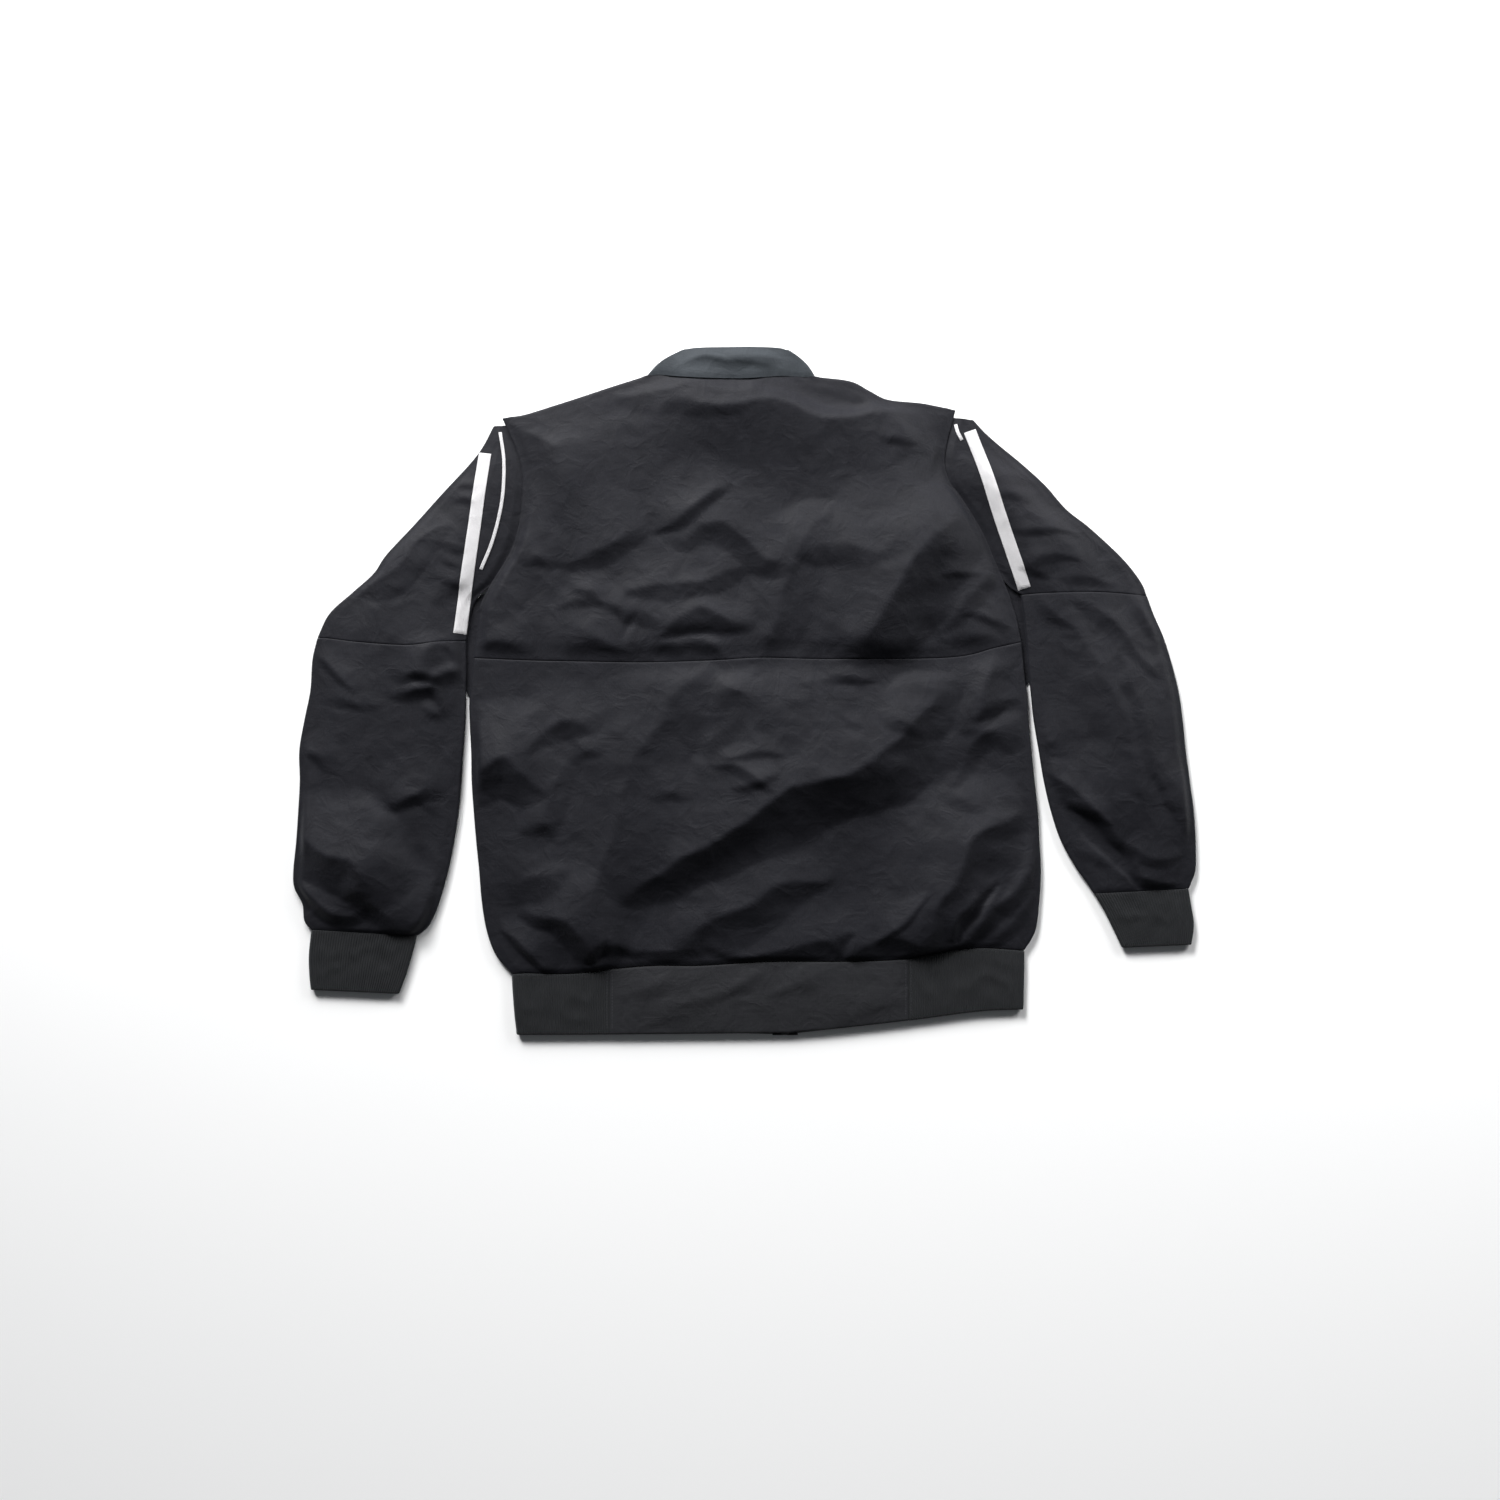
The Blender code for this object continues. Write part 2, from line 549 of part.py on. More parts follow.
def back_panel(top, bottom, left, right, free, v, fades):
    """The middle points of one of the two back panels. Its sides turn down where they are free:
    free has the freedom of both sides in each row. fades gives the share of the folds."""
    width = np.linalg.norm(along(right, v) - along(left, v), axis=1)[:, None]
    away_left, drop_left, foot_left = turned_edge(free[0])
    away_right, drop_right, foot_right = turned_edge(free[1])
    inner = np.linspace(0, 1, BACK_COLUMNS)[None, 1:-1]
    start, stop = away_left[:, :1] / width, 1 - away_right[:, :1] / width
    u = np.concatenate(
        [
            away_left[:, ::-1] / width,
            start + (stop - start) * inner,
            1 - away_right / width,
        ],
        axis=1,
    )
    flat = patch(top, bottom, left, right, u, v)
    x, y = flat[..., 0], flat[..., 1]
    near = np.minimum(u, 1 - u) * width
    rest = CLOTH / 2 + LAYER
    height = rest + ease((near - EDGE_FLAT) / EDGE_FADE) * fades(x, v[:, None]) * drape(x, y)
    level = np.zeros((len(v), BACK_COLUMNS - 2))
    drop = np.concatenate([drop_left[:, ::-1], level, drop_right], axis=1)
    foot = np.concatenate([foot_left[:, ::-1], level, foot_right], axis=1)
    height = (height - drop) * (1 - foot) + FOOT * foot
    return np.dstack([flat, height])


def reach(sections):
    """The mean length of a flat tube's two sides."""
    sides = [(s.ax, s.ay) for s in sections], [(s.bx, s.by) for s in sections]
    return sum(length(smooth(side)) for side in sides) / 2


def gathered(tall):
    """The share of the folds down a piece of this length whose lower end is gathered."""
    return lambda down: SQUEEZE + (1 - SQUEEZE) * ease((1 - down) * tall / SEAM_FADE)


def layered(sections, top, bottom, v, closed, arm, thick, columns, fade=np.ones_like):
    """A sleeve or a cuff pressed flat: a top layer, a turn at the free edge and a bottom layer.
    arm is -1 for a sleeve that reaches to -X. A sleeve that isn't closed is open at the armhole,
    where its top layer dips under the back and, past the armpit, turns down."""
    left, free_at = side_line([Side(s.ax, s.ay, s.free) for s in sections])
    right, _ = side_line([Side(s.bx, s.by, s.free) for s in sections])
    free = free_at(v)
    width = np.linalg.norm(along(right, v) - along(left, v), axis=1)[:, None]
    inset = (TURN + thick / 2) / width
    rest = thick / 2 + LAYER
    shares = np.linspace(0, 1, columns)[None, :]
    under_shares = np.linspace(0, 1, LOW_COLUMNS)[None, :]
    if closed:
        u = inset + (1 - 2 * inset) * shares
        lower = inset + (1 - 2 * inset) * under_shares
        drop = foot = dip = np.zeros_like(u)
    else:
        away, fall, end = turned_edge(free)
        u = np.concatenate(
            [inset + (1 - away[:, :1] / width - inset) * shares[:, :-1], 1 - away / width], axis=1
        )
        blank = np.zeros((len(v), columns - 1))
        drop = np.concatenate([blank, fall], axis=1)
        foot = np.concatenate([blank, end], axis=1)
        past = ease(((1 - u) * width - LAP_FLAT) / LAP_FADE)
        dip = (1 - free[:, None]) * LAP * (1 - past)
        last = 1 - ARMHOLE_IN / width * (1 - free[:, None]) - inset * free[:, None]
        lower = inset + (last - inset) * under_shares
        if arm > 0:
            u, lower = 1 - u[:, ::-1], 1 - lower[:, ::-1]
            drop, foot, dip = drop[:, ::-1], foot[:, ::-1], dip[:, ::-1]
    upper = patch(top, bottom, left, right, u, v)
    under = patch(top, bottom, left, right, lower, v)
    x, y = upper[..., 0], upper[..., 1]
    near = np.minimum(u, 1 - u) * width
    share = ease((near - EDGE_FLAT) / EDGE_FADE) * fade(v)[:, None]
    height = rest + share * drape(x, y) - dip
    height = (height - drop) * (1 - foot) + FOOT * foot
    upper = np.dstack([upper, height])
    under = np.dstack([under, np.full(under.shape[:2], thick / 2)])[:, ::-1]
    if closed:
        return np.concatenate(
            [upper, turn(upper[:, -1], under[:, 0], 1), under, turn(under[:, -1], upper[:, 0], -1)],
            axis=1,
        )
    if arm < 0:
        return np.concatenate([under, turn(under[:, -1], upper[:, 0], -1), upper], axis=1)
    return np.concatenate([upper, turn(upper[:, -1], under[:, 0], 1), under], axis=1)


def strip_on(name, middle, width, carrier, rows, material, collection):
    """A sewn-on strip along a line, a seam's gap over the faces of the piece that carries it."""
    line = smooth(middle)
    share = np.linspace(0, 1, 2 * rows - 1)
    edges = [along(offset(line, side * width / 2), share) for side in (1, 0, -1)]
    plan = np.stack(edges, axis=1)
    graph = bpy.context.evaluated_depsgraph_get()
    tree = BVHTree.FromObject(carrier, graph)
    height = np.zeros(plan.shape[:2])
    for i, j in np.ndindex(height.shape):
        x, y = (plan[i, j] - (CENTRE_X, CENTRE_Y)) * MM
        hit = tree.ray_cast(Vector((x, y, 1)), Vector((0, 0, -1)))[0]
        height[i, j] = hit.z / MM if hit else height[i, j - 1]
    # each row clears what lies under the half cells on both sides of it
    height[2:-2:2] = np.maximum(height[2:-2:2], np.maximum(height[1:-3:2], height[3:-1:2]))
    lifted = height[::2] + STRIP_GAP + STRIP / 2
    grid = np.dstack([plan[::2], lifted])
    if plan[0, 0, 0] > plan[0, -1, 0]:
        grid = grid[:, ::-1]
    return wall(name, grid, STRIP, material, collection, square=())


# ---- the pieces ----


def build_back(shell, jacket):
    """The upper back, from the shoulders and the neck seam to the back seam, and the lower."""
    top = np.vstack(
        [smooth(SHOULDER_LEFT)[:-1], smooth(NECK)[:-1], smooth(SHOULDER_RIGHT)]
    )
    seam = smooth(BACK_SEAM)
    hem = smooth(HEM_SEAM)
    left, free_left = side_line(UPPER_LEFT)
    right, free_right = side_line(UPPER_RIGHT)
    tall = (length(left) + length(right)) / 2
    turned = EDGE_ANGLES[::-1]
    edge_rows = len(turned)
    curl = (TURN * (1 - np.sin(turned)) + CLOTH / 2) / tall
    inner = np.linspace(curl[-1], 1 - SEAM / 2 / tall, UPPER_BACK_ROWS)[1:]
    v = np.concatenate([curl, inner])
    grid = back_panel(
        top, seam, left, right, (free_left(v), free_right(v)), v,
        lambda x, down: neck(x) + (1 - neck(x)) * ease((down * tall - EDGE_FLAT) / EDGE_FADE),
    )
    # the shoulders turn down like the sides, and between them the neck seam lies level
    column = np.arange(grid.shape[1])
    from_side = np.minimum(column, column[::-1])
    shoulder = 1 - neck_seam(grid[edge_rows, :, 0])
    shoulder = shoulder * ease((from_side - CORNER_FLAT) / CORNER_FADE)
    fall = TURN * (1 - np.cos(turned))
    grid[:edge_rows, :, 2] -= shoulder * fall[:, None]
    grid[0, :, 2] = grid[0, :, 2] * (1 - shoulder) + FOOT * shoulder
    level = np.linspace(SEAM / 2, curl[-1] * tall, edge_rows)
    grid[:edge_rows, :, 1] -= (1 - shoulder) * (level - curl * tall)[:, None]
    wall("back_upper", grid, CLOTH, shell, jacket, square=(-1,))

    left, right = smooth(LOWER_LEFT), smooth(LOWER_RIGHT)
    tall = (length(left) + length(right)) / 2
    v = rows_between((1, 1), tall, LOWER_BACK_ROWS)
    free = np.ones(len(v))
    grid = back_panel(
        seam, hem, left, right, (free, free), v, lambda x, down: gathered(tall)(down) + 0 * x
    )
    wall("back_lower", grid, CLOTH, shell, jacket)


def neck_seam(x):
    """1 where the top of the back is sewn to the collar, 0 along the shoulders."""
    past_left = ease((x - NECK_SEAM_LEFT) / NECK_SEAM_FADE)
    past_right = ease((NECK_SEAM_RIGHT - x) / NECK_SEAM_FADE)
    return past_left * past_right


def build_fronts(shell, jacket):
    """The two hidden fronts, flat on the surface and lifted only round the slider."""
    low_rows = np.linspace(FRONT_TOP_SHARE, 1, FRONT_LOW_ROWS)
    v = np.concatenate([np.linspace(0, FRONT_TOP_SHARE, FRONT_TOP_ROWS), low_rows[1:]])
    hem = smooth(HEM_SEAM) + (0, FRONT_HEM_IN)
    split = np.searchsorted(hem[:, 0], ZIP_X_HEM)
    for name, sign in (("front_left", -1), ("front_right", 1)):
        sides = UPPER_LEFT if sign < 0 else UPPER_RIGHT
        lower = LOWER_LEFT if sign < 0 else LOWER_RIGHT
        outline = smooth([row[:2] for row in sides[:-1]] + lower[:-1])
        outline = offset(outline, -sign * FRONT_IN)
        shoulder = smooth(SHOULDER_LEFT if sign < 0 else SHOULDER_RIGHT[::-1])
        shoulder = shoulder - (sign * FRONT_SHOULDER_IN, FRONT_SHOULDER_IN)
        shoulder = shoulder[sign * (shoulder[:, 0] - ZIP_X_TOP) > THROAT_HALF]
        collar = FRONT_NECK_LEFT if sign < 0 else FRONT_NECK_RIGHT[::-1]
        throat = offset(smooth(collar), sign * THROAT_IN)
        throat = throat[throat[:, 1] < shoulder[-1, 1]]
        top = np.vstack([shoulder, throat])
        corner = length(shoulder) / length(top)
        zip_foot = np.interp(ZIP_X_HEM, hem[:, 0], hem[:, 1])
        centre = centre_line(throat[-1, 1], zip_foot, sign)
        base = hem[:split] if sign < 0 else hem[split:][::-1]
        base = np.vstack([base[1:], centre[-1:]])
        outline = outline[outline[:, 1] > base[0, 1] + CORNER_CROWD]
        outline = np.vstack([top[:1], outline[1:], base[:1]])
        inner = np.linspace(corner, 1, FRONT_COLUMNS)[1:]
        u = np.concatenate([np.linspace(0, corner, FRONT_TOP_COLUMNS), inner])
        flat = patch(top, base, outline, centre, u[None, :] + 0 * v[:, None], v)
        if sign > 0:
            flat = flat[:, ::-1]
        height = CLOTH / 2 + front_lift(flat[..., 0], flat[..., 1])
        wall(name, np.dstack([flat, height]), CLOTH, shell, jacket)


def build_sleeves(shell, jacket):
    """Upper and lower sleeve on each side, parted at the elbow seam."""
    for side, arm, upper, lower, elbow in (
        ("left", -1, SLEEVE_UPPER_LEFT, SLEEVE_LOWER_LEFT, ELBOW_LEFT),
        ("right", 1, SLEEVE_UPPER_RIGHT, SLEEVE_LOWER_RIGHT, ELBOW_RIGHT),
    ):
        seam = smooth(elbow)
        start = np.array([upper[0][0:2], upper[0][2:4]], float)
        end = np.array([lower[-1][0:2], lower[-1][2:4]], float)
        v = rows_between((0, 1), reach(upper), UPPER_SLEEVE_ROWS)
        grid = layered(upper, start, seam, v, False, arm, CLOTH, SLEEVE_COLUMNS)
        wall(f"sleeve_upper_{side}", grid, CLOTH, shell, jacket)
        v = rows_between((1, 1), reach(lower), LOWER_SLEEVE_ROWS)
        grid = layered(
            lower, seam, end, v, True, arm, CLOTH, SLEEVE_COLUMNS, gathered(reach(lower))
        )
        wall(f"sleeve_lower_{side}", grid, CLOTH, shell, jacket)


def build_cuffs(knit, jacket):
    """Rib cuffs, pressed flat and open at both ends."""
    for side, sections in (("left", CUFF_LEFT), ("right", CUFF_RIGHT)):
        start = np.array([sections[0][0:2], sections[0][2:4]], float)
        end = np.array([sections[-1][0:2], sections[-1][2:4]], float)
        v = rows_between((1, 0), reach(sections), CUFF_ROWS)
        grid = layered(sections, start, end, v, True, 1, RIB, CUFF_COLUMNS, np.zeros_like)
        wall(f"cuff_{side}", grid, RIB, knit, jacket)


def build_collar(cloth, jacket):
    """One band: its back half on top, turned under at both ends, its front halves underneath."""
    v = np.linspace(0, 1, COLLAR_ROWS)
    base = smooth(NECK) + (0, COLLAR_GAP)
    top, left, right = smooth(COLLAR_TOP), smooth(COLLAR_LEFT), smooth(COLLAR_RIGHT)
    width = np.linalg.norm(along(right, v) - along(left, v), axis=1)[:, None]
    inset = (TURN + COLLAR_WALL / 2) / width
    shares = inset + (1 - 2 * inset) * np.linspace(0, 1, COLLAR_COLUMNS)
    upper = patch(top, base, left, right, shares, v)
    rest = COLLAR_WALL / 2 + LAYER - COLLAR_SINK
    x, y = upper[..., 0], upper[..., 1]
    upper = np.dstack([upper, rest + neck(x) * drape(x, y)])
    halves = []
    for edge, neckline, fold, sign in (
        (FRONT_COLLAR_LEFT, FRONT_NECK_LEFT, left, -1),
        (FRONT_COLLAR_RIGHT, FRONT_NECK_RIGHT, right, 1),
    ):
        high, low = smooth(edge), smooth(neckline)
        near = (TURN + COLLAR_WALL / 2) / length(low)
        shares = np.linspace(near, 1, COLLAR_FRONT_COLUMNS)
        if sign < 0:
            centre = centre_line(high[-1, 1], low[-1, 1], sign)
            sides = fold, centre
        else:
            centre = centre_line(high[0, 1], low[0, 1], sign)
            sides = centre, fold
            shares = 1 - shares[::-1]
        flat = patch(high, low, *sides, shares[None, :] + 0 * v[:, None], v)
        height = COLLAR_WALL / 2 + front_lift(flat[..., 0], flat[..., 1])
        halves.append(np.dstack([flat, height])[:, ::-1])
    grid = np.concatenate(
        [
            halves[0], turn(halves[0][:, -1], upper[:, 0], -1), upper,
            turn(upper[:, -1], halves[1][:, 0], 1), halves[1],
        ],
        axis=1,
    )
    wall("collar", grid, COLLAR_WALL, cloth, jacket)


def hem_part(x0, x1):
    """The stretch of the band's top line and of its lower edge between two X places."""
    x = np.linspace(x0, x1, HEM_STEPS)
    lines = smooth(HEM_SEAM) - (0, HEM_GAP), smooth(HEM_EDGE)
    return [np.stack([x, np.interp(x, line[:, 0], line[:, 1])], axis=1) for line in lines]


def build_hem(knit, cloth, jacket):
    """The hem band: rib sides that wrap round, and a plain middle in the back and the fronts."""
    v = np.linspace(0, 1, HEM_ROWS)
    gap = SEAM / 2
    rest = HEM_WALL / 2 + LAYER

    def band(high, low, sides, columns):
        shares = np.linspace(0, 1, columns)[None, :] + 0 * v[:, None]
        return patch(high, low, *sides, shares, v)

    def at_height(flat, height):
        return np.dstack([flat, np.full(flat.shape[:2], height)])

    left, right = RIB_LEFT_X + gap, RIB_RIGHT_X - gap
    high, low = hem_part(left, right)
    ends = [np.array([line[k] for line in (high, low)]) for k in (0, -1)]
    flat = band(high, low, ends, HEM_COLUMNS)
    x, y = flat[..., 0], flat[..., 1]
    fade = ease((x - left) / HEM_END_FADE) * ease((right - x) / HEM_END_FADE)
    folds = HEM_FOLD_SHARE * fade * np.sin(np.pi * v)[:, None] * drape(x, y)
    wall("hem_band_back", np.dstack([flat, rest + folds]), HEM_WALL, cloth, jacket)

    inset = TURN + HEM_WALL / 2
    for side, sign in (("left", -1), ("right", 1)):
        # the rib side, from its seam round the side edge
        end = 0 if sign < 0 else -1
        inner = RIB_LEFT_X - gap if sign < 0 else RIB_RIGHT_X + gap
        tops = []
        for line in (smooth(HEM_SEAM) - (0, HEM_GAP), smooth(HEM_EDGE)):
            x = np.linspace(*sorted((inner, line[end, 0] - sign * inset)), HEM_STEPS)
            tops.append(np.stack([x, np.interp(x, line[:, 0], line[:, 1])], axis=1))
        ends = [np.array([line[k] for line in tops]) for k in (0, -1)]
        over = at_height(band(*tops, ends, RIB_COLUMNS), rest)
        under = at_height(band(*tops, ends, LOW_COLUMNS), HEM_WALL / 2)[:, ::-1]
        if sign < 0:
            grid = np.concatenate([under, turn(under[:, -1], over[:, 0], -1), over], axis=1)
        else:
            grid = np.concatenate([over, turn(over[:, -1], under[:, 0], 1), under], axis=1)
        wall(f"hem_rib_{side}", grid, HEM_WALL, knit, jacket)

        # the plain middle underneath, from the rib side to the zip
        high, low = hem_part(left, right)
        zip_top = np.interp(ZIP_X_HEM, high[:, 0], high[:, 1])
        centre = centre_line(zip_top, ZIP_END + ZIP_PAST, sign)
        place = zip_x(ZIP_END) + sign * OPENING
        keep = sign * high[:, 0] > sign * place + EDGE_FLAT
        drop = FRONT_DROP * ease(1 - np.abs(low[keep][:, 0] - place) / FRONT_DROP_FADE)
        base = low[keep] - np.stack([0 * drop, drop], axis=1)
        top = high[keep]
        if sign < 0:
            top, base = np.vstack([top, centre[:1]]), np.vstack([base, centre[-1:]])
            sides = np.array([top[0], base[0]]), centre
        else:
            top, base = np.vstack([centre[:1], top]), np.vstack([centre[-1:], base])
            sides = centre, np.array([top[-1], base[-1]])
        flat = at_height(band(top, base, sides, HEM_FRONT_COLUMNS), HEM_WALL / 2)
        wall(f"hem_band_front_{side}", flat, HEM_WALL, cloth, jacket)


def build_strips(white, jacket):
    """A wide tape down each sleeve, and a thin piping nearer the armhole."""
    for side, tape, piping, rows in (
        ("left", TAPE_LEFT, PIPING_LEFT, LONG_PIPING_ROWS),
        ("right", TAPE_RIGHT, PIPING_RIGHT, SHORT_PIPING_ROWS),
    ):
        carrier = bpy.data.objects[f"sleeve_upper_{side}"]
        strip_on(f"sleeve_tape_{side}", tape, TAPE_WIDE, carrier, STRIP_ROWS, white, jacket)
        strip_on(f"sleeve_piping_{side}", piping, PIPING_WIDE, carrier, rows, white, jacket)


def build_zip(fabric, metal, jacket):
    """Tapes and chain down the front, under everything, and a slider with its pull tab."""
    y = np.linspace(ZIP_TOP, ZIP_END, ZIP_ROWS)
    middle = zip_x(y)
    for name, near, far, thick in (
        ("zip_tape_left", -STRIP_OUT, -STRIP_IN, STRIP),
        ("zip_chain", -CHAIN_WIDE / 2, CHAIN_WIDE / 2, CHAIN_THICK),
        ("zip_tape_right", STRIP_IN, STRIP_OUT, STRIP),
    ):
        x = np.stack([middle + near, middle + far], axis=1)
        long = np.stack([y, y], axis=1)
        height = CHAIN_HEIGHT + front_lift(x, long)
        wall(name, np.dstack([x, long, height]), thick, fabric, jacket)
    build_slider(metal, jacket)


def block(name, size, place, material, collection):
    """A box of this size with its middle at this place, in millimetres about the slider."""
    bpy.ops.mesh.primitive_cube_add(size=1)
    thing = bpy.context.object
    thing.name = name
    thing.data.transform(Matrix.Diagonal((*[side * MM for side in size], 1)))
    thing.data.transform(Matrix.Translation([side * MM for side in place]))
    thing.data.materials.append(material)
    move_to(thing, collection)
    return thing


def rod(name, radius, long, place, material, collection):
    """A cylinder along X."""
    bpy.ops.mesh.primitive_cylinder_add(
        vertices=ROD_SIDES, radius=radius * MM, depth=long * MM, rotation=(0, math.pi / 2, 0)
    )
    thing = bpy.context.object
    thing.name = name
    thing.data.transform(thing.matrix_world.copy())
    thing.matrix_world = Matrix.Identity(4)
    thing.data.transform(Matrix.Translation([side * MM for side in place]))
    thing.data.materials.append(material)
    move_to(thing, collection)
    return thing


def move_to(thing, collection):
    for owner in list(thing.users_collection):
        owner.objects.unlink(thing)
    collection.objects.link(thing)


def combine(target, operation, others):
    """Joins the others to the target, or cuts them from it."""
    for other in others:
        step = target.modifiers.new(other.name, "BOOLEAN")
        step.operation = operation
        step.object = other
        other.hide_render = True
        other.display_type = "WIRE"


def build_slider(metal, jacket):
    """The slider rides at the top of the chain. Its pull tab hangs on a pin under it, which is
    the jacket's outside, and lies along the chain towards the hem."""
    helpers = bpy.data.collections.new("helpers")
    bpy.context.scene.collection.children.link(helpers)
    place = Vector((ZIP_X_TOP - CENTRE_X, SLIDER_Y - CENTRE_Y, CHAIN_HEIGHT + LIFT)) * MM
    half, pin = SLIDER_THICK / 2, -SLIDER_THICK / 2 - PIN_DROP

    body = block(
        "zip_slider", (SLIDER_WIDE, SLIDER_LONG, SLIDER_THICK), (0, 0, 0), metal, jacket
    )
    for corner in body.data.vertices:
        if corner.co.y < 0:
            corner.co.x *= SLIDER_NARROW / SLIDER_WIDE
    joined = []
    ear_tall = EAR_ROOT + PIN_DROP + EAR_PAST_PIN
    for name, sign in (("ear_left", -1), ("ear_right", 1)):
        ear = block(
            name, (EAR_THICK, EAR_LONG, ear_tall),
            (sign * (EAR_APART + EAR_THICK) / 2, 0, EAR_ROOT - half - ear_tall / 2),
            metal, helpers,
        )
        joined.append(ear)
    joined.append(
        rod("pin", PIN_RADIUS, EAR_APART + EAR_THICK, (0, 0, pin), metal, helpers)
    )
    combine(body, "UNION", joined)

    tab = rod("zip_pull_tab", KNUCKLE_RADIUS, KNUCKLE_WIDE, (0, 0, 0), metal, jacket)
    plate = block(
        "plate", (TAB_WIDE, TAB_LONG, TAB_THICK), (0, -TAB_START - TAB_LONG / 2, 0),
        metal, helpers,
    )
    stem = block(
        "stem", (KNUCKLE_WIDE, TAB_NECK_LONG, TAB_THICK), (0, TAB_NECK_Y, 0), metal, helpers
    )
    combine(tab, "UNION", [plate, stem])
    bore = rod("bore", KNUCKLE_BORE, 2 * KNUCKLE_WIDE, (0, 0, 0), metal, helpers)
    combine(tab, "DIFFERENCE", [bore])
    for thing in (body, *joined):
        thing.location = place
    for thing in (tab, plate, stem, bore):
        thing.location = place + Vector((0, 0, pin)) * MM


def main():
    clear_scene()
    jacket = bpy.data.collections.new("track_jacket")
    bpy.context.scene.collection.children.link(jacket)
    shell = finish("shell_cloth", SHELL_COLOUR, 0.55)
    knit = finish("rib_knit", RIB_COLOUR, 0.85)
    band = finish("band_cloth", BAND_COLOUR, 0.6)
    collar = finish("collar_cloth", COLLAR_COLOUR, 0.5)
    white = finish("white_tape", WHITE_COLOUR, 0.7)
    fabric = finish("zip_cloth", ZIP_COLOUR, 0.8)
    metal = finish("zip_metal", METAL_COLOUR, 0.35, 1.0)
    build_back(shell, jacket)
    build_fronts(shell, jacket)
    build_sleeves(shell, jacket)
    build_cuffs(knit, jacket)
    build_collar(collar, jacket)
    build_hem(knit, band, jacket)
    build_strips(white, jacket)
    build_zip(fabric, metal, jacket)


main()
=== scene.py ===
"""The looks of a track jacket laid flat with its back up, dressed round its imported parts.

Tables and lengths are millimetres in the plan of the laid-out jacket: +Y runs past the collar
and +X past the right sleeve. Each mesh is moved to the part's frame, in metres, as it is made.
"""

import math
from collections import namedtuple

import bpy
import numpy as np
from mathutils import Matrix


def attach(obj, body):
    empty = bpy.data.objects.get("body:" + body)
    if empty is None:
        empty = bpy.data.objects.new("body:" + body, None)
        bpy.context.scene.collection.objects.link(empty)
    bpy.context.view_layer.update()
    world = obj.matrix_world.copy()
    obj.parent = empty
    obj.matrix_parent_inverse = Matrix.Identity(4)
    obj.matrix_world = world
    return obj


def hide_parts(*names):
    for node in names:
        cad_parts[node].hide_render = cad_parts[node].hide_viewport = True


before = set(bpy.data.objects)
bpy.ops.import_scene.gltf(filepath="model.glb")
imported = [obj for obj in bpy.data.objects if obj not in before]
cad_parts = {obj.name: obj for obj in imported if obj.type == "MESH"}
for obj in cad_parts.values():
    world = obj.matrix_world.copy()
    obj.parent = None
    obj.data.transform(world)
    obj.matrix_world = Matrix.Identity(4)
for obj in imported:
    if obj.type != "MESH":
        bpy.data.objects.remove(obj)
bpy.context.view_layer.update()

# ==== The back ====
# Two panels of smooth, nearly black polyester with a woven backing, joined by one level seam.
# They lie loose on the fronts, so they carry the long slanting pulls and the hem's gathers.

MM = 0.001
CENTRE = np.array([0.5, 0.2, 0.0])  # the middle of the outline, which is the frame's origin
STEP = 2.4  # usual distance between the points of a cloth mesh
CLOTH = 1.2  # shell cloth with its backing
SEAM = 0.3
SEAM_ROLL, SEAM_DIP = 2.4, 0.75  # over this distance from a seam, cloth rolls this far down
SEAM_ROWS = [0.15, 0.5, 1.0, 1.6]  # close rows beside a seam, by their distance from it
EDGE_ROWS = np.array([0.5, 0.2, 0.05, 0])  # close rows at a folded edge, in wall thicknesses
TURN = 2.2  # radius at which cloth turns back under itself at an edge
LAYER = 2 * TURN  # height of a top layer's middle over its bottom layer's middle
FOOT = 0.9  # height at which a turned-down edge ends
SOFT_FLOOR = 2.0  # how softly hollows level out where cloth meets cloth
EDGE_FLAT, EDGE_FADE = 2.0, 10.0  # folds start here and are full this much further in
DOME_FADE = 42.0  # domes take longer to swell in
SEAM_FADE, SQUEEZE = 7.0, 0.25  # over this distance from a gathered seam, folds fade to a share
SEAM_HELD, HELD_SHARE = 4.0, 0.75  # what the back seam takes off the folds that cross it
HELD_OVER, HELD_UNDER = 18.0, 26.0  # how far above and below the seam it does so
NECK_X, NECK_HALF, NECK_FADE = -14.0, 34.0, 48.0  # where the back stays full up to the collar
NECK_SEAM = (-104.0, 78.0, 8.0)  # its ends, and how softly the shoulders turn down past them
CREST = 1.0  # how round the crest of a fold is
WAVER, WAVER_LONG = 2.4, 60.0  # how far the folds wander, and over what length
SHOULDER_IN, SHOULDER_FADE = 6, 8  # a shoulder turns down from this column in, over so many
CRUMPLE_SLANT, CRUMPLE_BEND = 1.4, 3  # the most that a crumple slants, in radians, and bends
CRUMPLE_HALF = (5, 20)  # half the length of a crumple, from the shortest to the longest
SHARP = 55  # degrees at which an edge shades sharp

Dome = namedtuple("Dome", "x y wide long high")
Fold = namedtuple("Fold", "high rise fall points")
Side = namedtuple("Side", "x y free")


def table(kind, *rows):
    """Rows of numbers, each as a named tuple of this kind."""
    return [kind(*row) for row in rows]


DOMES = table(
    Dome,
    (0, 60, 230, 210, 7.0),  # seat of the shoulder blades
    (0, -170, 230, 100, 2.0),  # fullness over the hem
    (-16, 296, 85, 60, 8.5),  # over the folded collar
    (-362, -60, 70, 150, 8.0),  # left forearm
    (-315, 130, 60, 90, 5.0),  # left upper arm
    (372, -50, 60, 150, 3.0),  # right forearm
    (310, 170, 60, 80, 5.0),  # right upper arm
    (225, 180, 90, 80, 8.0),  # right shoulder
    (-195, 220, 60, 60, 8.0),  # left shoulder
)

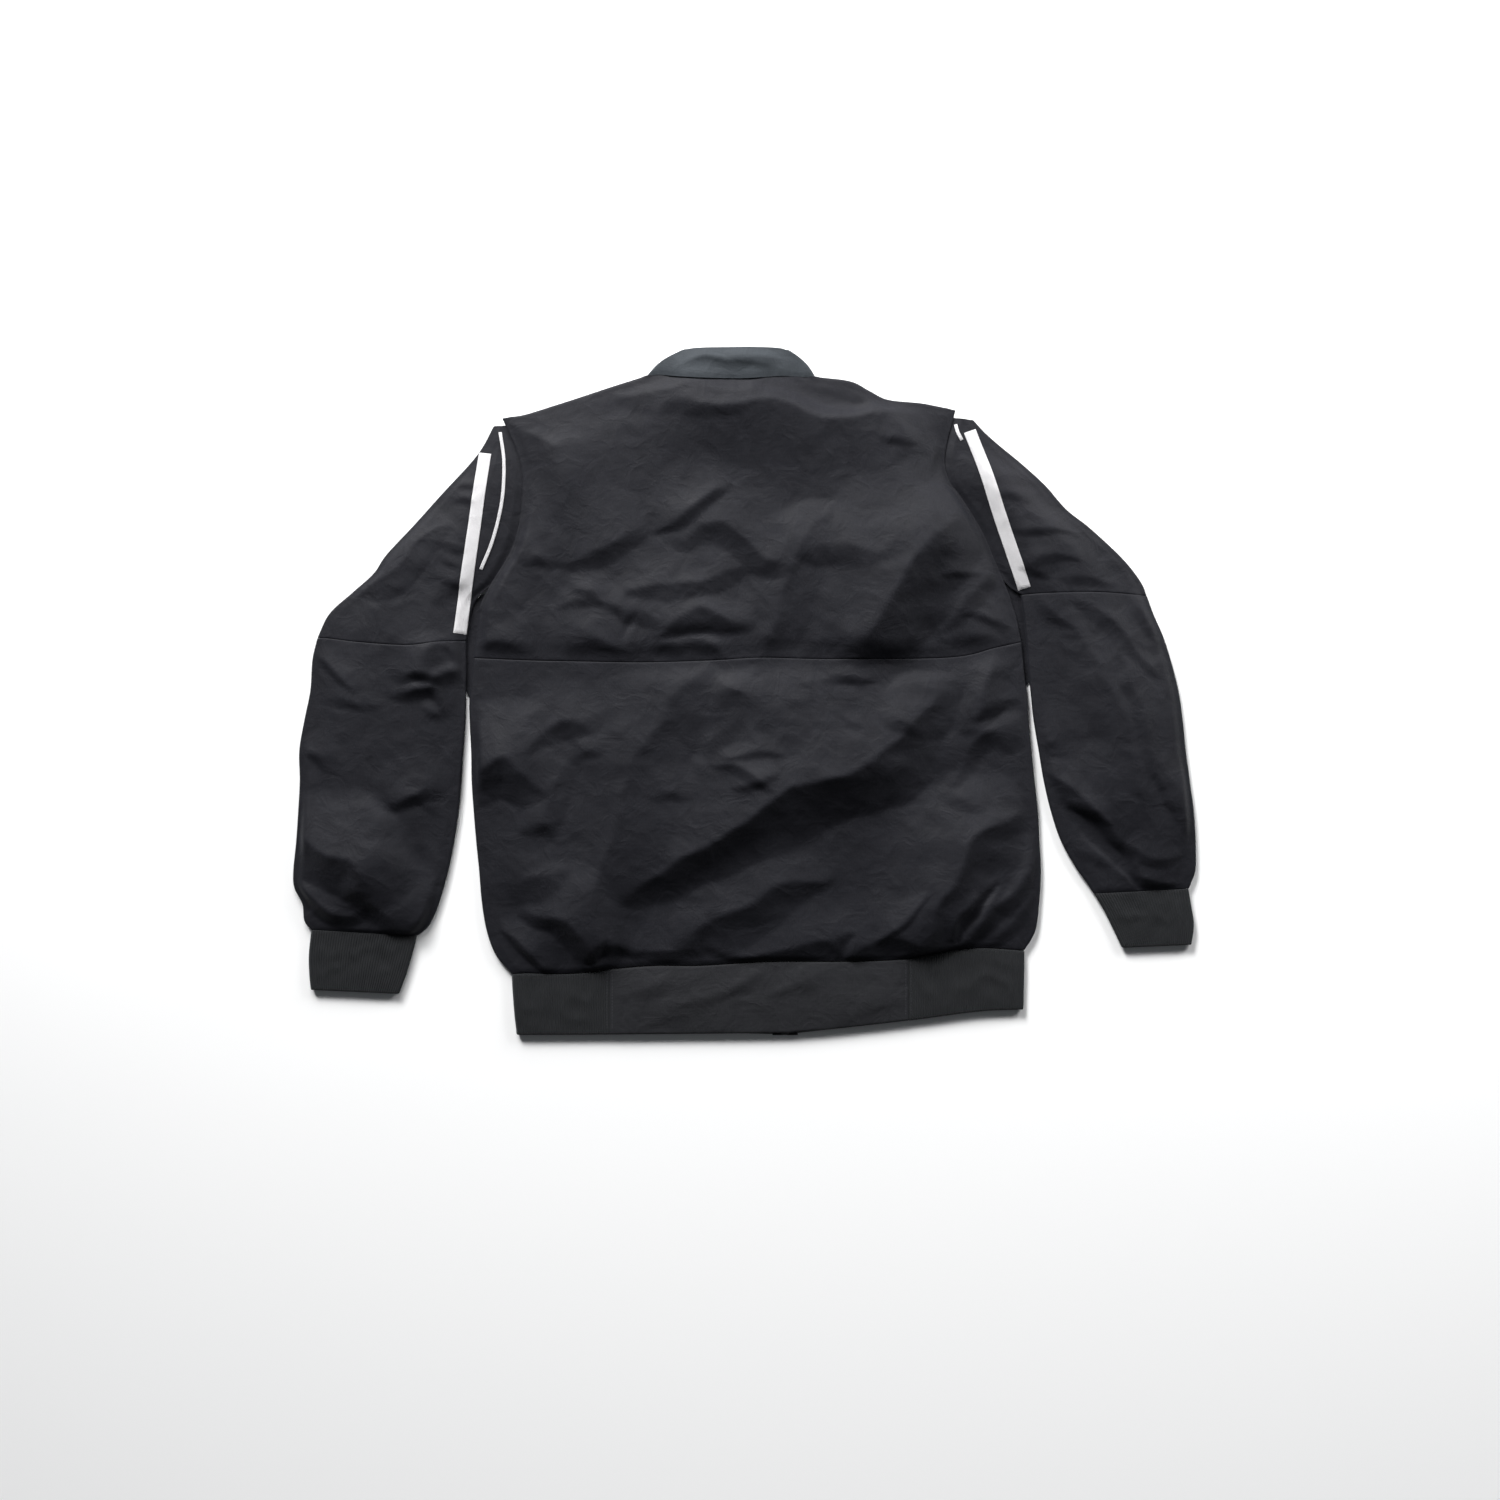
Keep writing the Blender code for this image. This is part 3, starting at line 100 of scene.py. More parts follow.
# Each fold is a crest with a flank on both sides: how high it stands, how far its upper flank
# rises and its lower flank falls, and points from left to right along the crest with the share
# of the fold's size there. A negative height makes a crease.
BACK_FOLDS = [
    # the long slanting pull over the lower back, and the one under it
    Fold(22, 130, 50, [
        (-110, -200, 0.2), (-85, -181, 0.5), (-45, -154, 0.75), (0, -127, 0.9), (25, -111, 1),
        (48, -96, 1), (72, -86, 1), (98, -80, 1), (126, -71, 0.9), (146, -55, 0.75),
        (162, -37, 0.65), (180, -20, 0.5), (192, 0, 0.4), (206, 9, 0.15),
    ]),
    Fold(9.5, 52, 33, [
        (-58, -242, 0.3), (-44, -234, 0.7), (-15, -222, 1), (14, -206, 1), (38, -188, 0.9),
        (58, -182, 0.6), (80, -186, 0.3),
    ]),
    # the steep facets at the right
    Fold(20, 78, 50, [
        (184, -254, 0.3), (188, -232, 0.8), (198, -208, 1), (210, -184, 1), (222, -158, 1),
        (240, -136, 0.8), (264, -122, 0.4),
    ]),
    Fold(6.6, 42, 13, [
        (221, -250, 0.3), (230, -238, 0.7), (246, -217, 1), (264, -203, 1), (282, -179, 1),
        (291, -152, 0.4),
    ]),
    Fold(4.3, 38, 12, [(247, -246, 0.4), (258, -234, 1), (278, -214, 1), (294, -196, 0.5)]),
    Fold(3.2, 16, 5, [(208, -246, 0.5), (216, -225, 1), (228, -204, 0.5)]),
    Fold(-3.5, 8, 5, [(213, -249, 0.5), (226, -228, 1), (238, -208, 1), (252, -194, 0.4)]),
    Fold(2.7, 18, 4, [(136, -248, 0.5), (150, -238, 1), (165, -222, 1), (182, -203, 0.4)]),
    Fold(8.2, 37, 26, [(230, -30, 0.5), (237, -8, 1), (244, 20, 0.9), (255, 46, 0.3)]),
    Fold(6.6, 58, 18, [
        (213, -89, 0.2), (222, -70, 0.6), (231, -50, 1), (245, -43, 1), (260, -47, 0.3),
    ]),
    Fold(-3.2, 16, 14, [(230, -32, 0.5), (252, -28, 1), (272, -16, 0.5)]),
    Fold(3, 35, 11, [(207, -96, 0.4), (213, -107, 1), (229, -112, 0.3)]),
    Fold(-2.7, 14, 12, [(145, 8, 0.5), (165, 20, 1), (202, 20, 0.4)]),
    # left side of the lower back
    Fold(12.5, 92, 54, [
        (-142, -258, 0.3), (-147, -236, 0.7), (-147, -202, 1), (-138, -166, 1), (-125, -130, 1),
        (-118, -96, 1), (-108, -66, 1), (-88, -34, 0.8), (-60, 2, 0.5), (-40, 20, 0.2),
    ]),
    Fold(6.2, 64, 20, [(-205, -146, 0.3), (-200, -120, 1), (-188, -88, 0.8), (-176, -70, 0.3)]),
    Fold(15, 60, 40, [
        (-272, -92, 0.6), (-256, -72, 0.9), (-240, -62, 1), (-224, -76, 0.8), (-206, -96, 0.3),
    ]),
    Fold(5.9, 51, 16, [
        (-214, -60, 0.3), (-196, -41, 0.9), (-182, -34, 1), (-166, -30, 0.8), (-150, -32, 0.3),
    ]),
    Fold(3.2, 29, 9, [(-167, -62, 0.4), (-157, -57, 1), (-144, -58, 0.4)]),
    Fold(4.3, 45, 14, [(-207, -135, 0.3), (-196, -130, 1), (-186, -141, 0.4)]),
    Fold(6.9, 64, 20, [(-232, -199, 0.4), (-212, -185, 1), (-188, -178, 0.5)]),
    Fold(2.7, 32, 10, [(-88, -104, 0.4), (-72, -99, 1), (-52, -101, 0.3)]),
    Fold(4.6, 48, 15, [(-26, -4, 0.4), (-8, 2, 1), (10, -4, 0.5)]),
    Fold(2.8, 20, 7, [(-14, -68, 0.4), (8, -61, 1), (34, -60, 0.4)]),
    Fold(3.4, 24, 9, [(-26, -76, 0.4), (-8, -76, 1), (10, -84, 1), (24, -96, 0.4)]),
    Fold(6, 64, 56, [(-46, -14, 0.3), (-18, -12, 1), (16, -16, 1), (46, -26, 0.4)]),
    Fold(3, 26, 8, [(-6, -94, 0.4), (10, -90, 1), (30, -84, 0.4)]),
    Fold(3.2, 38, 12, [(146, -34, 0.4), (158, -30, 1), (174, -38, 0.4)]),
    Fold(3, 29, 9, [(78, 12, 0.3), (98, 17, 1), (124, 14, 0.3)]),
    # gathers over the hem band
    Fold(10.7, 56, 20, [(-207, -218, 0.5), (-181, -221, 1), (-164, -244, 1), (-148, -268, 0.5)]),
    Fold(6.9, 37, 7, [(-236, -238, 0.4), (-216, -254, 1), (-202, -272, 0.6)]),
    Fold(4.3, 29, 9, [(-149, -266, 0.4), (-140, -257, 1), (-122, -255, 1), (-111, -263, 0.4)]),
    Fold(-4.1, 9, 6, [(-153, -272, 0.5), (-141, -264, 1), (-136, -254, 0.4)]),
    Fold(5.9, 48, 15, [
        (-22, -258, 0.4), (20, -258, 0.6), (58, -254, 1), (84, -250, 1), (94, -258, 0.4),
    ]),
    Fold(6.2, 51, 16, [(102, -256, 0.4), (122, -249, 1), (148, -247, 1), (172, -252, 0.5)]),
    Fold(-3.5, 9, 6, [(95, -266, 0.5), (99, -254, 1), (109, -242, 0.4)]),
    Fold(4.9, 48, 15, [(-104, -258, 0.4), (-74, -254, 1), (-44, -258, 0.5)]),
    # puffs and hollows over the back seam
    Fold(6.5, 61, 19, [(-264, 44, 0.5), (-240, 50, 1), (-216, 43, 0.4)]),
    Fold(7.5, 60, 20, [(-172, 40, 0.4), (-150, 52, 1), (-122, 44, 0.5)]),
    Fold(6.5, 60, 18, [(-102, 40, 0.4), (-76, 50, 1), (-52, 43, 0.5)]),
    Fold(5.5, 51, 16, [(-48, 53, 0.5), (-32, 45, 1), (-14, 38, 0.7), (12, 36, 0.3)]),
    Fold(4.6, 60, 16, [(108, 36, 0.4), (150, 44, 1), (200, 40, 0.4)]),
    Fold(5, 50, 15, [(204, 50, 0.4), (226, 56, 1), (250, 54, 0.5)]),
    # upper back, left and middle
    Fold(5.5, 42, 13, [(-86, 160, 0.3), (-60, 178, 0.9), (-38, 198, 1), (-18, 203, 0.3)]),
    Fold(8.2, 60, 25, [
        (-58, 150, 0.3), (-43, 163, 0.8), (-21, 166, 1), (0, 155, 1), (22, 138, 0.8),
        (42, 126, 0.3),
    ]),
    Fold(5.5, 54, 17, [(-178, 129, 0.3), (-150, 140, 0.9), (-126, 152, 1), (-106, 164, 0.3)]),
    Fold(6.6, 54, 17, [(-112, 101, 0.3), (-80, 107, 0.8), (-42, 112, 1), (-4, 123, 0.5)]),
    Fold(8.2, 40, 24, [
        (-80, 60, 0.3), (-61, 75, 0.8), (-40, 83, 1), (-20, 73, 0.8), (0, 66, 0.3),
    ]),
    Fold(-2.2, 13, 9, [(-78, 56, 0.5), (-40, 56, 1), (-4, 60, 0.4)]),
    Fold(3.2, 29, 9, [(-142, 88, 0.4), (-126, 84, 1), (-117, 73, 0.4)]),
    Fold(-2.2, 8, 5, [(-119, 56, 0.5), (-113, 66, 1), (-107, 77, 0.4)]),
    Fold(2.8, 26, 8, [(-168, 104, 0.3), (-155, 101, 1), (-143, 97, 0.4)]),
    Fold(3.2, 32, 10, [(-213, 133, 0.4), (-203, 137, 1), (-192, 129, 0.4)]),
    Fold(2.8, 29, 9, [(-184, 86, 0.3), (-162, 92, 1), (-140, 90, 0.4)]),
    Fold(3.6, 51, 16, [(-113, 78, 0.3), (-96, 83, 1), (-80, 75, 0.4)]),
    Fold(5.5, 90, 28, [
        (-262, 84, 0.4), (-245, 105, 1), (-230, 128, 1), (-214, 158, 0.7), (-204, 188, 0.3),
    ]),
    # upper back, right
    Fold(8, 46, 30, [
        (19, 36, 0.5), (30, 62, 0.9), (44, 108, 1), (57, 148, 0.9), (66, 163, 0.6),
        (82, 170, 0.2),
    ]),
    Fold(5.3, 70, 22, [(63, 146, 0.3), (85, 146, 1), (114, 146, 0.9), (137, 141, 0.3)]),
    Fold(23, 100, 56, [
        (110, 42, 0.4), (128, 62, 0.8), (148, 98, 1), (164, 127, 1), (190, 153, 0.85),
        (216, 180, 0.35),
    ]),
    Fold(5.3, 48, 15, [(198, 60, 0.3), (216, 82, 0.9), (238, 112, 0.9), (247, 124, 0.3)]),
    Fold(2.7, 29, 9, [(220, 75, 0.3), (244, 77, 1), (260, 70, 0.4)]),
    Fold(2, 16, 5, [(193, 117, 0.3), (215, 121, 1), (238, 120, 0.3)]),
    Fold(3, 22, 7, [(140, 250, 0.4), (155, 251, 1), (170, 248, 0.4)]),
    Fold(3, 29, 9, [(181, 214, 0.4), (185, 232, 1), (197, 246, 0.4)]),
    # over the folded collar
    Fold(5, 14, 30, [
        (-122, 295, 0.3), (-86, 302, 0.8), (-42, 301, 1), (-6, 303, 0.8), (12, 306, 0.3),
    ]),
    Fold(9, 18, 90, [
        (-70, 287, 0.3), (-40, 284, 0.8), (-6, 288, 0.9), (24, 289, 1), (62, 279, 1),
        (100, 276, 1), (138, 274, 1), (156, 262, 0.8), (176, 252, 0.3),
    ]),
    Fold(-2.6, 14, 12, [
        (12, 306, 0.3), (32, 300, 0.8), (66, 291, 1), (102, 287, 1), (134, 286, 0.8),
        (150, 276, 0.3),
    ]),
]

SHOULDER_LEFT = [(-241, 273), (-219, 277), (-193, 285), (-168, 293), (-132, 305), (-97, 316)]
NECK = [(-97, 316), (-84, 317.5), (-64, 314.5), (-40, 312.5), (4, 312.5), (40, 315.5), (71, 315)]
SHOULDER_RIGHT = [(71, 315), (106, 310.5), (125, 301), (144, 292), (180, 288), (211, 281)]
BACK_SEAM = [
    (-270, 34), (-214, 31.5), (-166, 30.5), (-98, 29.5), (-28, 31.5), (18, 34), (96, 32.5),
    (206, 34.5), (250, 44), (277, 50),
]
HEM_SEAM = [
    (-232, -281), (-215, -280), (-187, -281), (-157, -279.5), (-127, -275.5), (-87, -272.5),
    (-44, -272.5), (25, -268.5), (96, -268.5), (156, -266.5), (185, -261), (233, -255),
    (280, -257.5),
]
UPPER_LEFT = table(
    Side,
    (-241, 273, 0), (-228, 243, 0), (-221, 216, 0), (-222, 182, 0), (-231, 144, 0),
    (-251, 110, 0), (-263, 86, 0), (-266, 62, 1), (-270, 34, 1),
)
UPPER_RIGHT = table(
    Side,
    (211, 281, 0), (203, 252, 0), (200, 228, 0), (206, 208, 0), (216, 195, 0),
    (237, 161, 0), (251, 129, 0), (264, 98, 0), (272, 74, 1), (277, 50, 1),
)
LOWER_LEFT = [
    (-270, 34), (-274, -5), (-274, -28), (-272.5, -58), (-272, -88), (-270, -118), (-267.5, -148),
    (-264.5, -178), (-262, -208), (-257, -238), (-248, -262), (-232, -281),
]
LOWER_RIGHT = [
    (277, 50), (280, 18), (283, -8), (284, -28), (287, -58), (290, -88), (293.5, -118),
    (295, -148), (296.5, -178), (295, -208), (291, -238), (280, -257.5),
]


def smooth(points, steps=16, columns=2):
    """Cubic pieces through plan points, with each point's slope half the step between its
    neighbours."""
    p = np.array([row[:columns] for row in points], float)
    if len(p) == 2:
        return p
    slope = np.gradient(p, axis=0)[:, None]
    p = p[:, None]
    t = np.linspace(0, 1, steps, endpoint=False)[None, :, None]
    runs = (2 * t**3 - 3 * t**2 + 1) * p[:-1] + (t**3 - 2 * t**2 + t) * slope[:-1]
    runs = runs + (3 * t**2 - 2 * t**3) * p[1:] + (t**3 - t**2) * slope[1:]
    return np.vstack([runs.reshape(-1, columns), p[-1]])


def walked(line):
    """The distance walked along a line at each of its points."""
    return np.concatenate([[0], np.cumsum(np.linalg.norm(np.diff(line, axis=0), axis=1))])


def along(line, share):
    """The points at these shares of a line's length."""
    run = walked(line)
    at = np.asarray(share) * run[-1]
    return np.stack([np.interp(at, run, line[:, k]) for k in range(line.shape[1])], axis=-1)


def patch(top, bottom, left, right, u, v):
    """Coons patch: the blend of left and right edge by u, plus the blend of top and bottom
    edge by v, less the blend of the four corners by both."""
    u, v = np.broadcast_arrays(u, np.asarray(v)[:, None])
    a, b = u[..., None], v[..., None]
    corners = (1 - b) * ((1 - a) * top[0] + a * top[-1])
    corners = corners + b * ((1 - a) * bottom[0] + a * bottom[-1])
    across = (1 - a) * along(left, v) + a * along(right, v)
    down = (1 - b) * along(top, u) + b * along(bottom, u)
    return across + down - corners


def ease(t):
    """0 to 1 with level ends: three times the square less twice the cube."""
    t = np.clip(t, 0, 1)
    return t * t * (3 - 2 * t)


def folds_over(x, y, folds):
    """Sum of folds. At a distance d from a run of its crest, each stands as high as its height
    there times 1 - d / flank, raised to 1.25 above the crest and 1.15 below it, and the highest
    run counts. The places wander a little first, so that no crest is quite straight."""
    total = np.zeros(x.shape)
    x, y = x + WAVER * wave_sum(x, y, WAVER_LONG, 11), y + WAVER * wave_sum(x, y, WAVER_LONG, 12)
    for fold in folds:
        crest = smooth(fold.points, 5, 3)
        margin = max(fold.rise, fold.fall)
        low, high = crest[:, :2].min(axis=0) - margin, crest[:, :2].max(axis=0) + margin
        inside = (x > low[0]) & (x < high[0]) & (y > low[1]) & (y < high[1])
        if not inside.any():
            continue
        start, run = crest[:-1, :2], np.diff(crest[:, :2], axis=0)
        to = np.stack([x[inside], y[inside]], axis=-1)[:, None] - start
        on = np.clip((to * run).sum(axis=-1) / (run**2).sum(axis=-1), 0, 1)
        to = to - on[..., None] * run
        off = np.linalg.norm(to, axis=-1)
        share = crest[:-1, 2] + on * np.diff(crest[:, 2])
        turned = run[:, 0] * to[..., 1] - run[:, 1] * to[..., 0]
        above = 0.5 + 0.5 * turned / (np.linalg.norm(run, axis=1) * off + 1e-9)
        flank = (fold.fall + (fold.rise - fold.fall) * above) * share
        rest = np.clip(1 - (np.sqrt(off**2 + CREST**2) - CREST) / flank, 0, 1)
        total[inside] += fold.high * (share * rest ** (1.15 + 0.1 * above)).max(axis=1)
    return total


def crumples(seed, count, box, high):
    """Short folds of handled cloth, strewn over a box in every direction: two in three stand up,
    and the third is a crease."""
    draw = np.random.default_rng(seed)
    x, y = draw.uniform(box[0], box[2], count), draw.uniform(box[1], box[3], count)
    angle = draw.uniform(-CRUMPLE_SLANT, CRUMPLE_SLANT, count)
    half = draw.uniform(*CRUMPLE_HALF, count)
    bend = draw.uniform(-CRUMPLE_BEND, CRUMPLE_BEND, count)
    size = draw.uniform(0.35, 1, count) * high
    dx, dy = half * np.cos(angle), half * np.sin(angle)
    return [
        Fold(size[k] * (1 if k % 3 else -0.8), 4 + half[k] / 2, 3 + half[k] / 2, [
            (x[k] - dx[k], y[k] - dy[k], 0.3), (x[k] - bend[k], y[k] + bend[k], 1),
            (x[k] + dx[k], y[k] + dy[k], 0.3),
        ])
        for k in range(count)
    ]


def wave_sum(x, y, size, seed, count=36):
    """The sum of sine waves of every direction, over the square root of their number. Their
    lengths spread from half to twice the size, and each is as high as its length over the size.
    It is about -1 to 1."""
    draw = np.random.default_rng(seed)
    angle = draw.uniform(0, math.pi, count)
    long = size * 2.0 ** draw.uniform(-1, 1, count)
    phase = draw.uniform(0, 2 * math.pi, count)
    total = np.zeros(np.broadcast(x, y).shape)
    for turn_by, wave, start in zip(angle, long, phase):
        run = x * math.cos(turn_by) + y * math.sin(turn_by)
        total += (wave / size) * np.sin(2 * math.pi * run / wave + start)
    return total / math.sqrt(count)


def rumple(x, y, size=34.0, seed=7):
    """Shallow crumpling of handled cloth: 0.6 less the distance of a wave sum from 0.2. It is
    about -0.6 to 0.6."""
    return 0.6 - np.abs(wave_sum(x, y, size, seed) - 0.2)


def drape(x, y, folds, near=1000.0, crumple=0.3, held=0.0):
    """How far loose cloth stands over its resting height at this distance from its edges:
    domes that swell in slowly, plus folds and crumpling that start close to the edge, with the
    sum levelled softly so that it never goes below 0. Where a seam holds the cloth, low folds
    lose most of their height and high ones SEAM_HELD of it."""
    full = 0
    for dome in DOMES:
        full = full + dome.high * np.exp(
            -(((x - dome.x) / dome.wide) ** 2) - ((y - dome.y) / dome.long) ** 2
        )
    full = full * ease((near - EDGE_FLAT) / DOME_FADE)
    creased = folds_over(x, y, folds) + crumple * rumple(x, y)
    creased = creased - held * SEAM_HELD * np.tanh(HELD_SHARE * creased / SEAM_HELD)
    total = full + creased * ease((near - EDGE_FLAT) / EDGE_FADE)
    floor = SOFT_FLOOR * ease((near - EDGE_FLAT) / EDGE_FADE)
    return 0.5 * (total + np.sqrt(total**2 + floor**2))


def neck(x):
    """1 behind the neck, 0 out on the shoulders."""
    return 1 - ease((np.abs(x - NECK_X) - NECK_HALF) / NECK_FADE)


def seam_rows(tall, at_top, at_bottom):
    """Row shares down a piece: close rows that roll into a seam, and even rows between."""
    near = np.array([*SEAM_ROWS, SEAM_ROLL])
    ends = (near if at_top else near[:1] * 0, tall - near[::-1] if at_bottom else [tall])
    first, last = ends[0][-1], ends[1][0]
    inner = np.linspace(first, last, max(3, round((last - first) / STEP)))
    return np.concatenate([ends[0], inner[1:-1], ends[1]]) / tall


def roll(away):
    """How far cloth dips into a seam at this distance from it: a quarter of an ellipse."""
    t = np.clip(1 - away / SEAM_ROLL, 0, 1)
    return SEAM_DIP * (1 - np.sqrt(1 - t**2))


def wall(name, grid, thick, closed=False, square=(0, -1), relief=None):
    """A closed wall round a grid of middle points, whose rows run down and whose columns run
    to the right: each point moved half the thickness along its normal, both ways, and a rim.
    Relief moves the outer points alone. The map gives each point's walk along the cloth, in
    metres, across and down. The rows in square end in a face that stands upright."""
    rows, columns = grid.shape[:2]
    down = np.gradient(grid, axis=0)
    if closed:
        right = np.roll(grid, -1, axis=1) - np.roll(grid, 1, axis=1)
    else:
        right = np.gradient(grid, axis=1)
    normal = np.cross(down, right)
    for row in square:
        normal[row, :, 1] = 0
    normal /= np.linalg.norm(normal, axis=2)[..., None]
    half = normal * np.broadcast_to(thick, grid.shape[:2])[..., None] / 2
    raised = normal * np.broadcast_to(0 if relief is None else relief, grid.shape[:2])[..., None]
    both = np.concatenate([grid + half + raised, grid - half])
    index = np.arange(rows * columns).reshape(rows, columns)
    ring = np.concatenate([index, index[:, :1]], axis=1) if closed else index
    rear = ring + rows * columns
    loop = np.concatenate([grid, grid[:, :1]], axis=1) if closed else grid
    place = np.arange(loop.shape[0] * loop.shape[1]).reshape(loop.shape[:2])
    across = np.cumsum(np.linalg.norm(np.diff(loop, axis=1, prepend=loop[:, :1]), axis=2), axis=1)
    fall = np.cumsum(np.linalg.norm(np.diff(loop, axis=0, prepend=loop[:1]), axis=2), axis=0)
    if relief is not None:
        across = across * 0 + across.mean(axis=0)
    middle = loop.shape[1] // 2
    spread = np.stack([across - across[:, middle:middle + 1], fall], axis=-1).reshape(-1, 2)

    def cells(a):
        """The four corners of each cell of a grid."""
        return np.stack([a[:-1, :-1], a[1:, :-1], a[1:, 1:], a[:-1, 1:]], -1).reshape(-1, 4)

    def strip(a, b, c, d):
        """The faces between two lines, from their four lists of corners."""
        return np.stack([a, b, c, d], axis=-1).reshape(-1, 4)

    faces = [cells(ring), cells(rear)[:, ::-1]]
    places = [cells(place), cells(place)[:, ::-1]]
    rims = [(0, slice(None)), (-1, slice(None))] + ([] if closed else [(1, 0), (1, -1)])
    for kind, column in rims:
        if kind == 1:
            a, b = (ring[:, column], rear[:, column]), (place[:, column], place[:, column])
            flip = column == -1
        else:
            a, b = (ring[kind], rear[kind]), (place[kind], place[kind])
            flip = kind == 0
        for got, (near, far) in ((faces, a), (places, b)):
            quad = strip(near[:-1], far[:-1], far[1:], near[1:])
            got.append(quad[:, ::-1] if flip else quad)
    spread = spread[np.concatenate(places)]
    return put_mesh(name, both.reshape(-1, 3), np.concatenate(faces), spread)


def put_mesh(name, points, faces, spread=None):
    """An object at the frame's origin from points in plan millimetres."""
    mesh = bpy.data.meshes.new(name)
    mesh.from_pydata(((points - CENTRE) * MM).tolist(), [], [list(face) for face in faces])
    if spread is not None:
        layer = mesh.uv_layers.new(name="cloth")
        layer.uv.foreach_set("vector", (spread.reshape(-1) * MM).astype(np.float32))
    mesh.shade_smooth()
    mesh.set_sharp_from_angle(angle=math.radians(SHARP))
    made = bpy.data.objects.new(name, mesh)
    bpy.context.scene.collection.objects.link(made)
    return made


def dress(made, material, nodes=(), body="jacket"):
    """Gives a piece its material and its body, and hides the nodes it replaces."""
    made.data.materials.append(material)
    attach(made, body)
    if nodes:
        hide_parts(*nodes)
    return made


def edge_columns(free, quarter=6):
    """Distances from a side edge, drops, and shares of the fall to the foot, of the columns at
    that edge. They lie level at a seam, and follow a quarter circle and a short fall where the
    edge is free."""
    angle = np.radians(np.concatenate([np.linspace(0, 90, quarter), [90]]))
    curl = TURN * (1 - np.sin(angle)) + CLOTH / 2
    level = np.linspace(TURN + EDGE_FLAT, SEAM / 2, len(angle))
    last = np.arange(len(angle)) == len(angle) - 1
    free = np.asarray(free)[:, None]
    return free * curl + (1 - free) * level, free * TURN * (1 - np.cos(angle)), free * last


def side_line(rows):
    """A side's smooth line and, for shares of its length, how free its edge is."""
    line = smooth(rows)
    run = walked(line)
    at = np.linspace(0, len(rows) - 1, len(line))
    free = np.interp(at, range(len(rows)), [row.free for row in rows])
    return line, lambda share: ease(np.interp(share * run[-1], run, free))


def gathered(down, tall):
    """The share of the folds at this share of a piece's length, whose lower end is gathered."""
    return SQUEEZE + (1 - SQUEEZE) * ease((1 - down) * tall / SEAM_FADE)


def back_panel(top, bottom, left, right, free, v, tall, from_top, folds, seams):
    """Middle points of a back panel: a patch between its edges, at the resting height plus the
    drape, with its sides turned down where they are free and rolled in at the seams. from_top
    gives, from X and the distance down, how far a point is from the panel's upper edge."""
    width = np.linalg.norm(along(right, v) - along(left, v), axis=1)[:, None]
    away_left, drop_left, foot_left = edge_columns(free[0])
    away_right, drop_right, foot_right = edge_columns(free[1])
    start, stop = away_left[:, :1] / width, 1 - away_right[:, :1] / width
    inner = np.linspace(0, 1, round(width.mean() / STEP))[None, 1:-1]
    u = [away_left[:, ::-1] / width, start + (stop - start) * inner, 1 - away_right / width]
    u = np.concatenate(u, axis=1)
    flat = patch(top, bottom, left, right, u, v)
    x, y = flat[..., 0], flat[..., 1]
    near = np.minimum(np.minimum(u, 1 - u) * width, from_top(x, v[:, None] * tall))
    if seams[0]:
        share, from_seam = gathered(v[:, None], tall), v[:, None] * tall / HELD_UNDER
    else:
        share, from_seam = 1, (1 - v[:, None]) * tall / HELD_OVER
    height = CLOTH / 2 + LAYER + share * drape(x, y, folds, near, held=1 - ease(from_seam))
    side = np.where(u < 0.5, free[0][:, None], free[1][:, None])
    height = height - (1 - side) * roll(np.minimum(u, 1 - u) * width)
    for at_top, seam in zip((True, False), seams):
        if seam:
            height -= roll(v * tall if at_top else (1 - v) * tall)[:, None]
    blank = np.zeros((len(v), inner.shape[1]))
    drop = np.concatenate([drop_left[:, ::-1], blank, drop_right], axis=1)
    foot = np.concatenate([foot_left[:, ::-1], blank, foot_right], axis=1)
    height = (height - drop) * (1 - foot) + FOOT * foot
    return np.dstack([flat, height])


LOWER_CRUMPLES = crumples(1, 90, (-265, -265, 285, 30), 0.45)
LOWER_CRUMPLES += crumples(2, 34, (-60, -90, 140, 25), 0.7)
UPPER_CRUMPLES = crumples(3, 60, (-255, 35, 265, 215), 0.45)
UPPER_CRUMPLES += crumples(4, 30, (-130, 35, 30, 130), 0.7)

# The lower back, sewn to the hem band
back_seam, hem_seam = smooth(BACK_SEAM), smooth(HEM_SEAM)
left, right = smooth(LOWER_LEFT), smooth(LOWER_RIGHT)
tall = (walked(left)[-1] + walked(right)[-1]) / 2
v = seam_rows(tall, True, True)
all_free = np.ones(len(v)), np.ones(len(v))
lower_back = back_panel(
    back_seam, hem_seam, left, right, all_free, v, tall,
    lambda x, down: 1000, BACK_FOLDS + LOWER_CRUMPLES, (True, True),
)

# The upper back, whose shoulders turn down beside the collar
top = np.vstack([smooth(SHOULDER_LEFT)[:-1], smooth(NECK)[:-1], smooth(SHOULDER_RIGHT)])
left, free_left = side_line(UPPER_LEFT)
right, free_right = side_line(UPPER_RIGHT)
tall = (walked(left)[-1] + walked(right)[-1]) / 2
quarter = np.radians(np.concatenate([[90], np.linspace(90, 0, 6)]))
curl = (TURN * (1 - np.sin(quarter)) + CLOTH / 2) / tall
rest_rows = seam_rows(tall, False, True)
v = np.concatenate([curl, rest_rows[rest_rows > curl[-1] + 1 / tall]])
upper_back = back_panel(
    top, back_seam, left, right, (free_left(v), free_right(v)), v, tall,
    lambda x, down: down + (EDGE_FLAT + DOME_FADE) * neck(x),
    BACK_FOLDS + UPPER_CRUMPLES, (False, True),
)
column = np.arange(upper_back.shape[1])
from_side = np.minimum(column, column[::-1])
x = upper_back[len(curl), :, 0]
sewn = ease((x - NECK_SEAM[0]) / NECK_SEAM[2]) * ease((NECK_SEAM[1] - x) / NECK_SEAM[2])
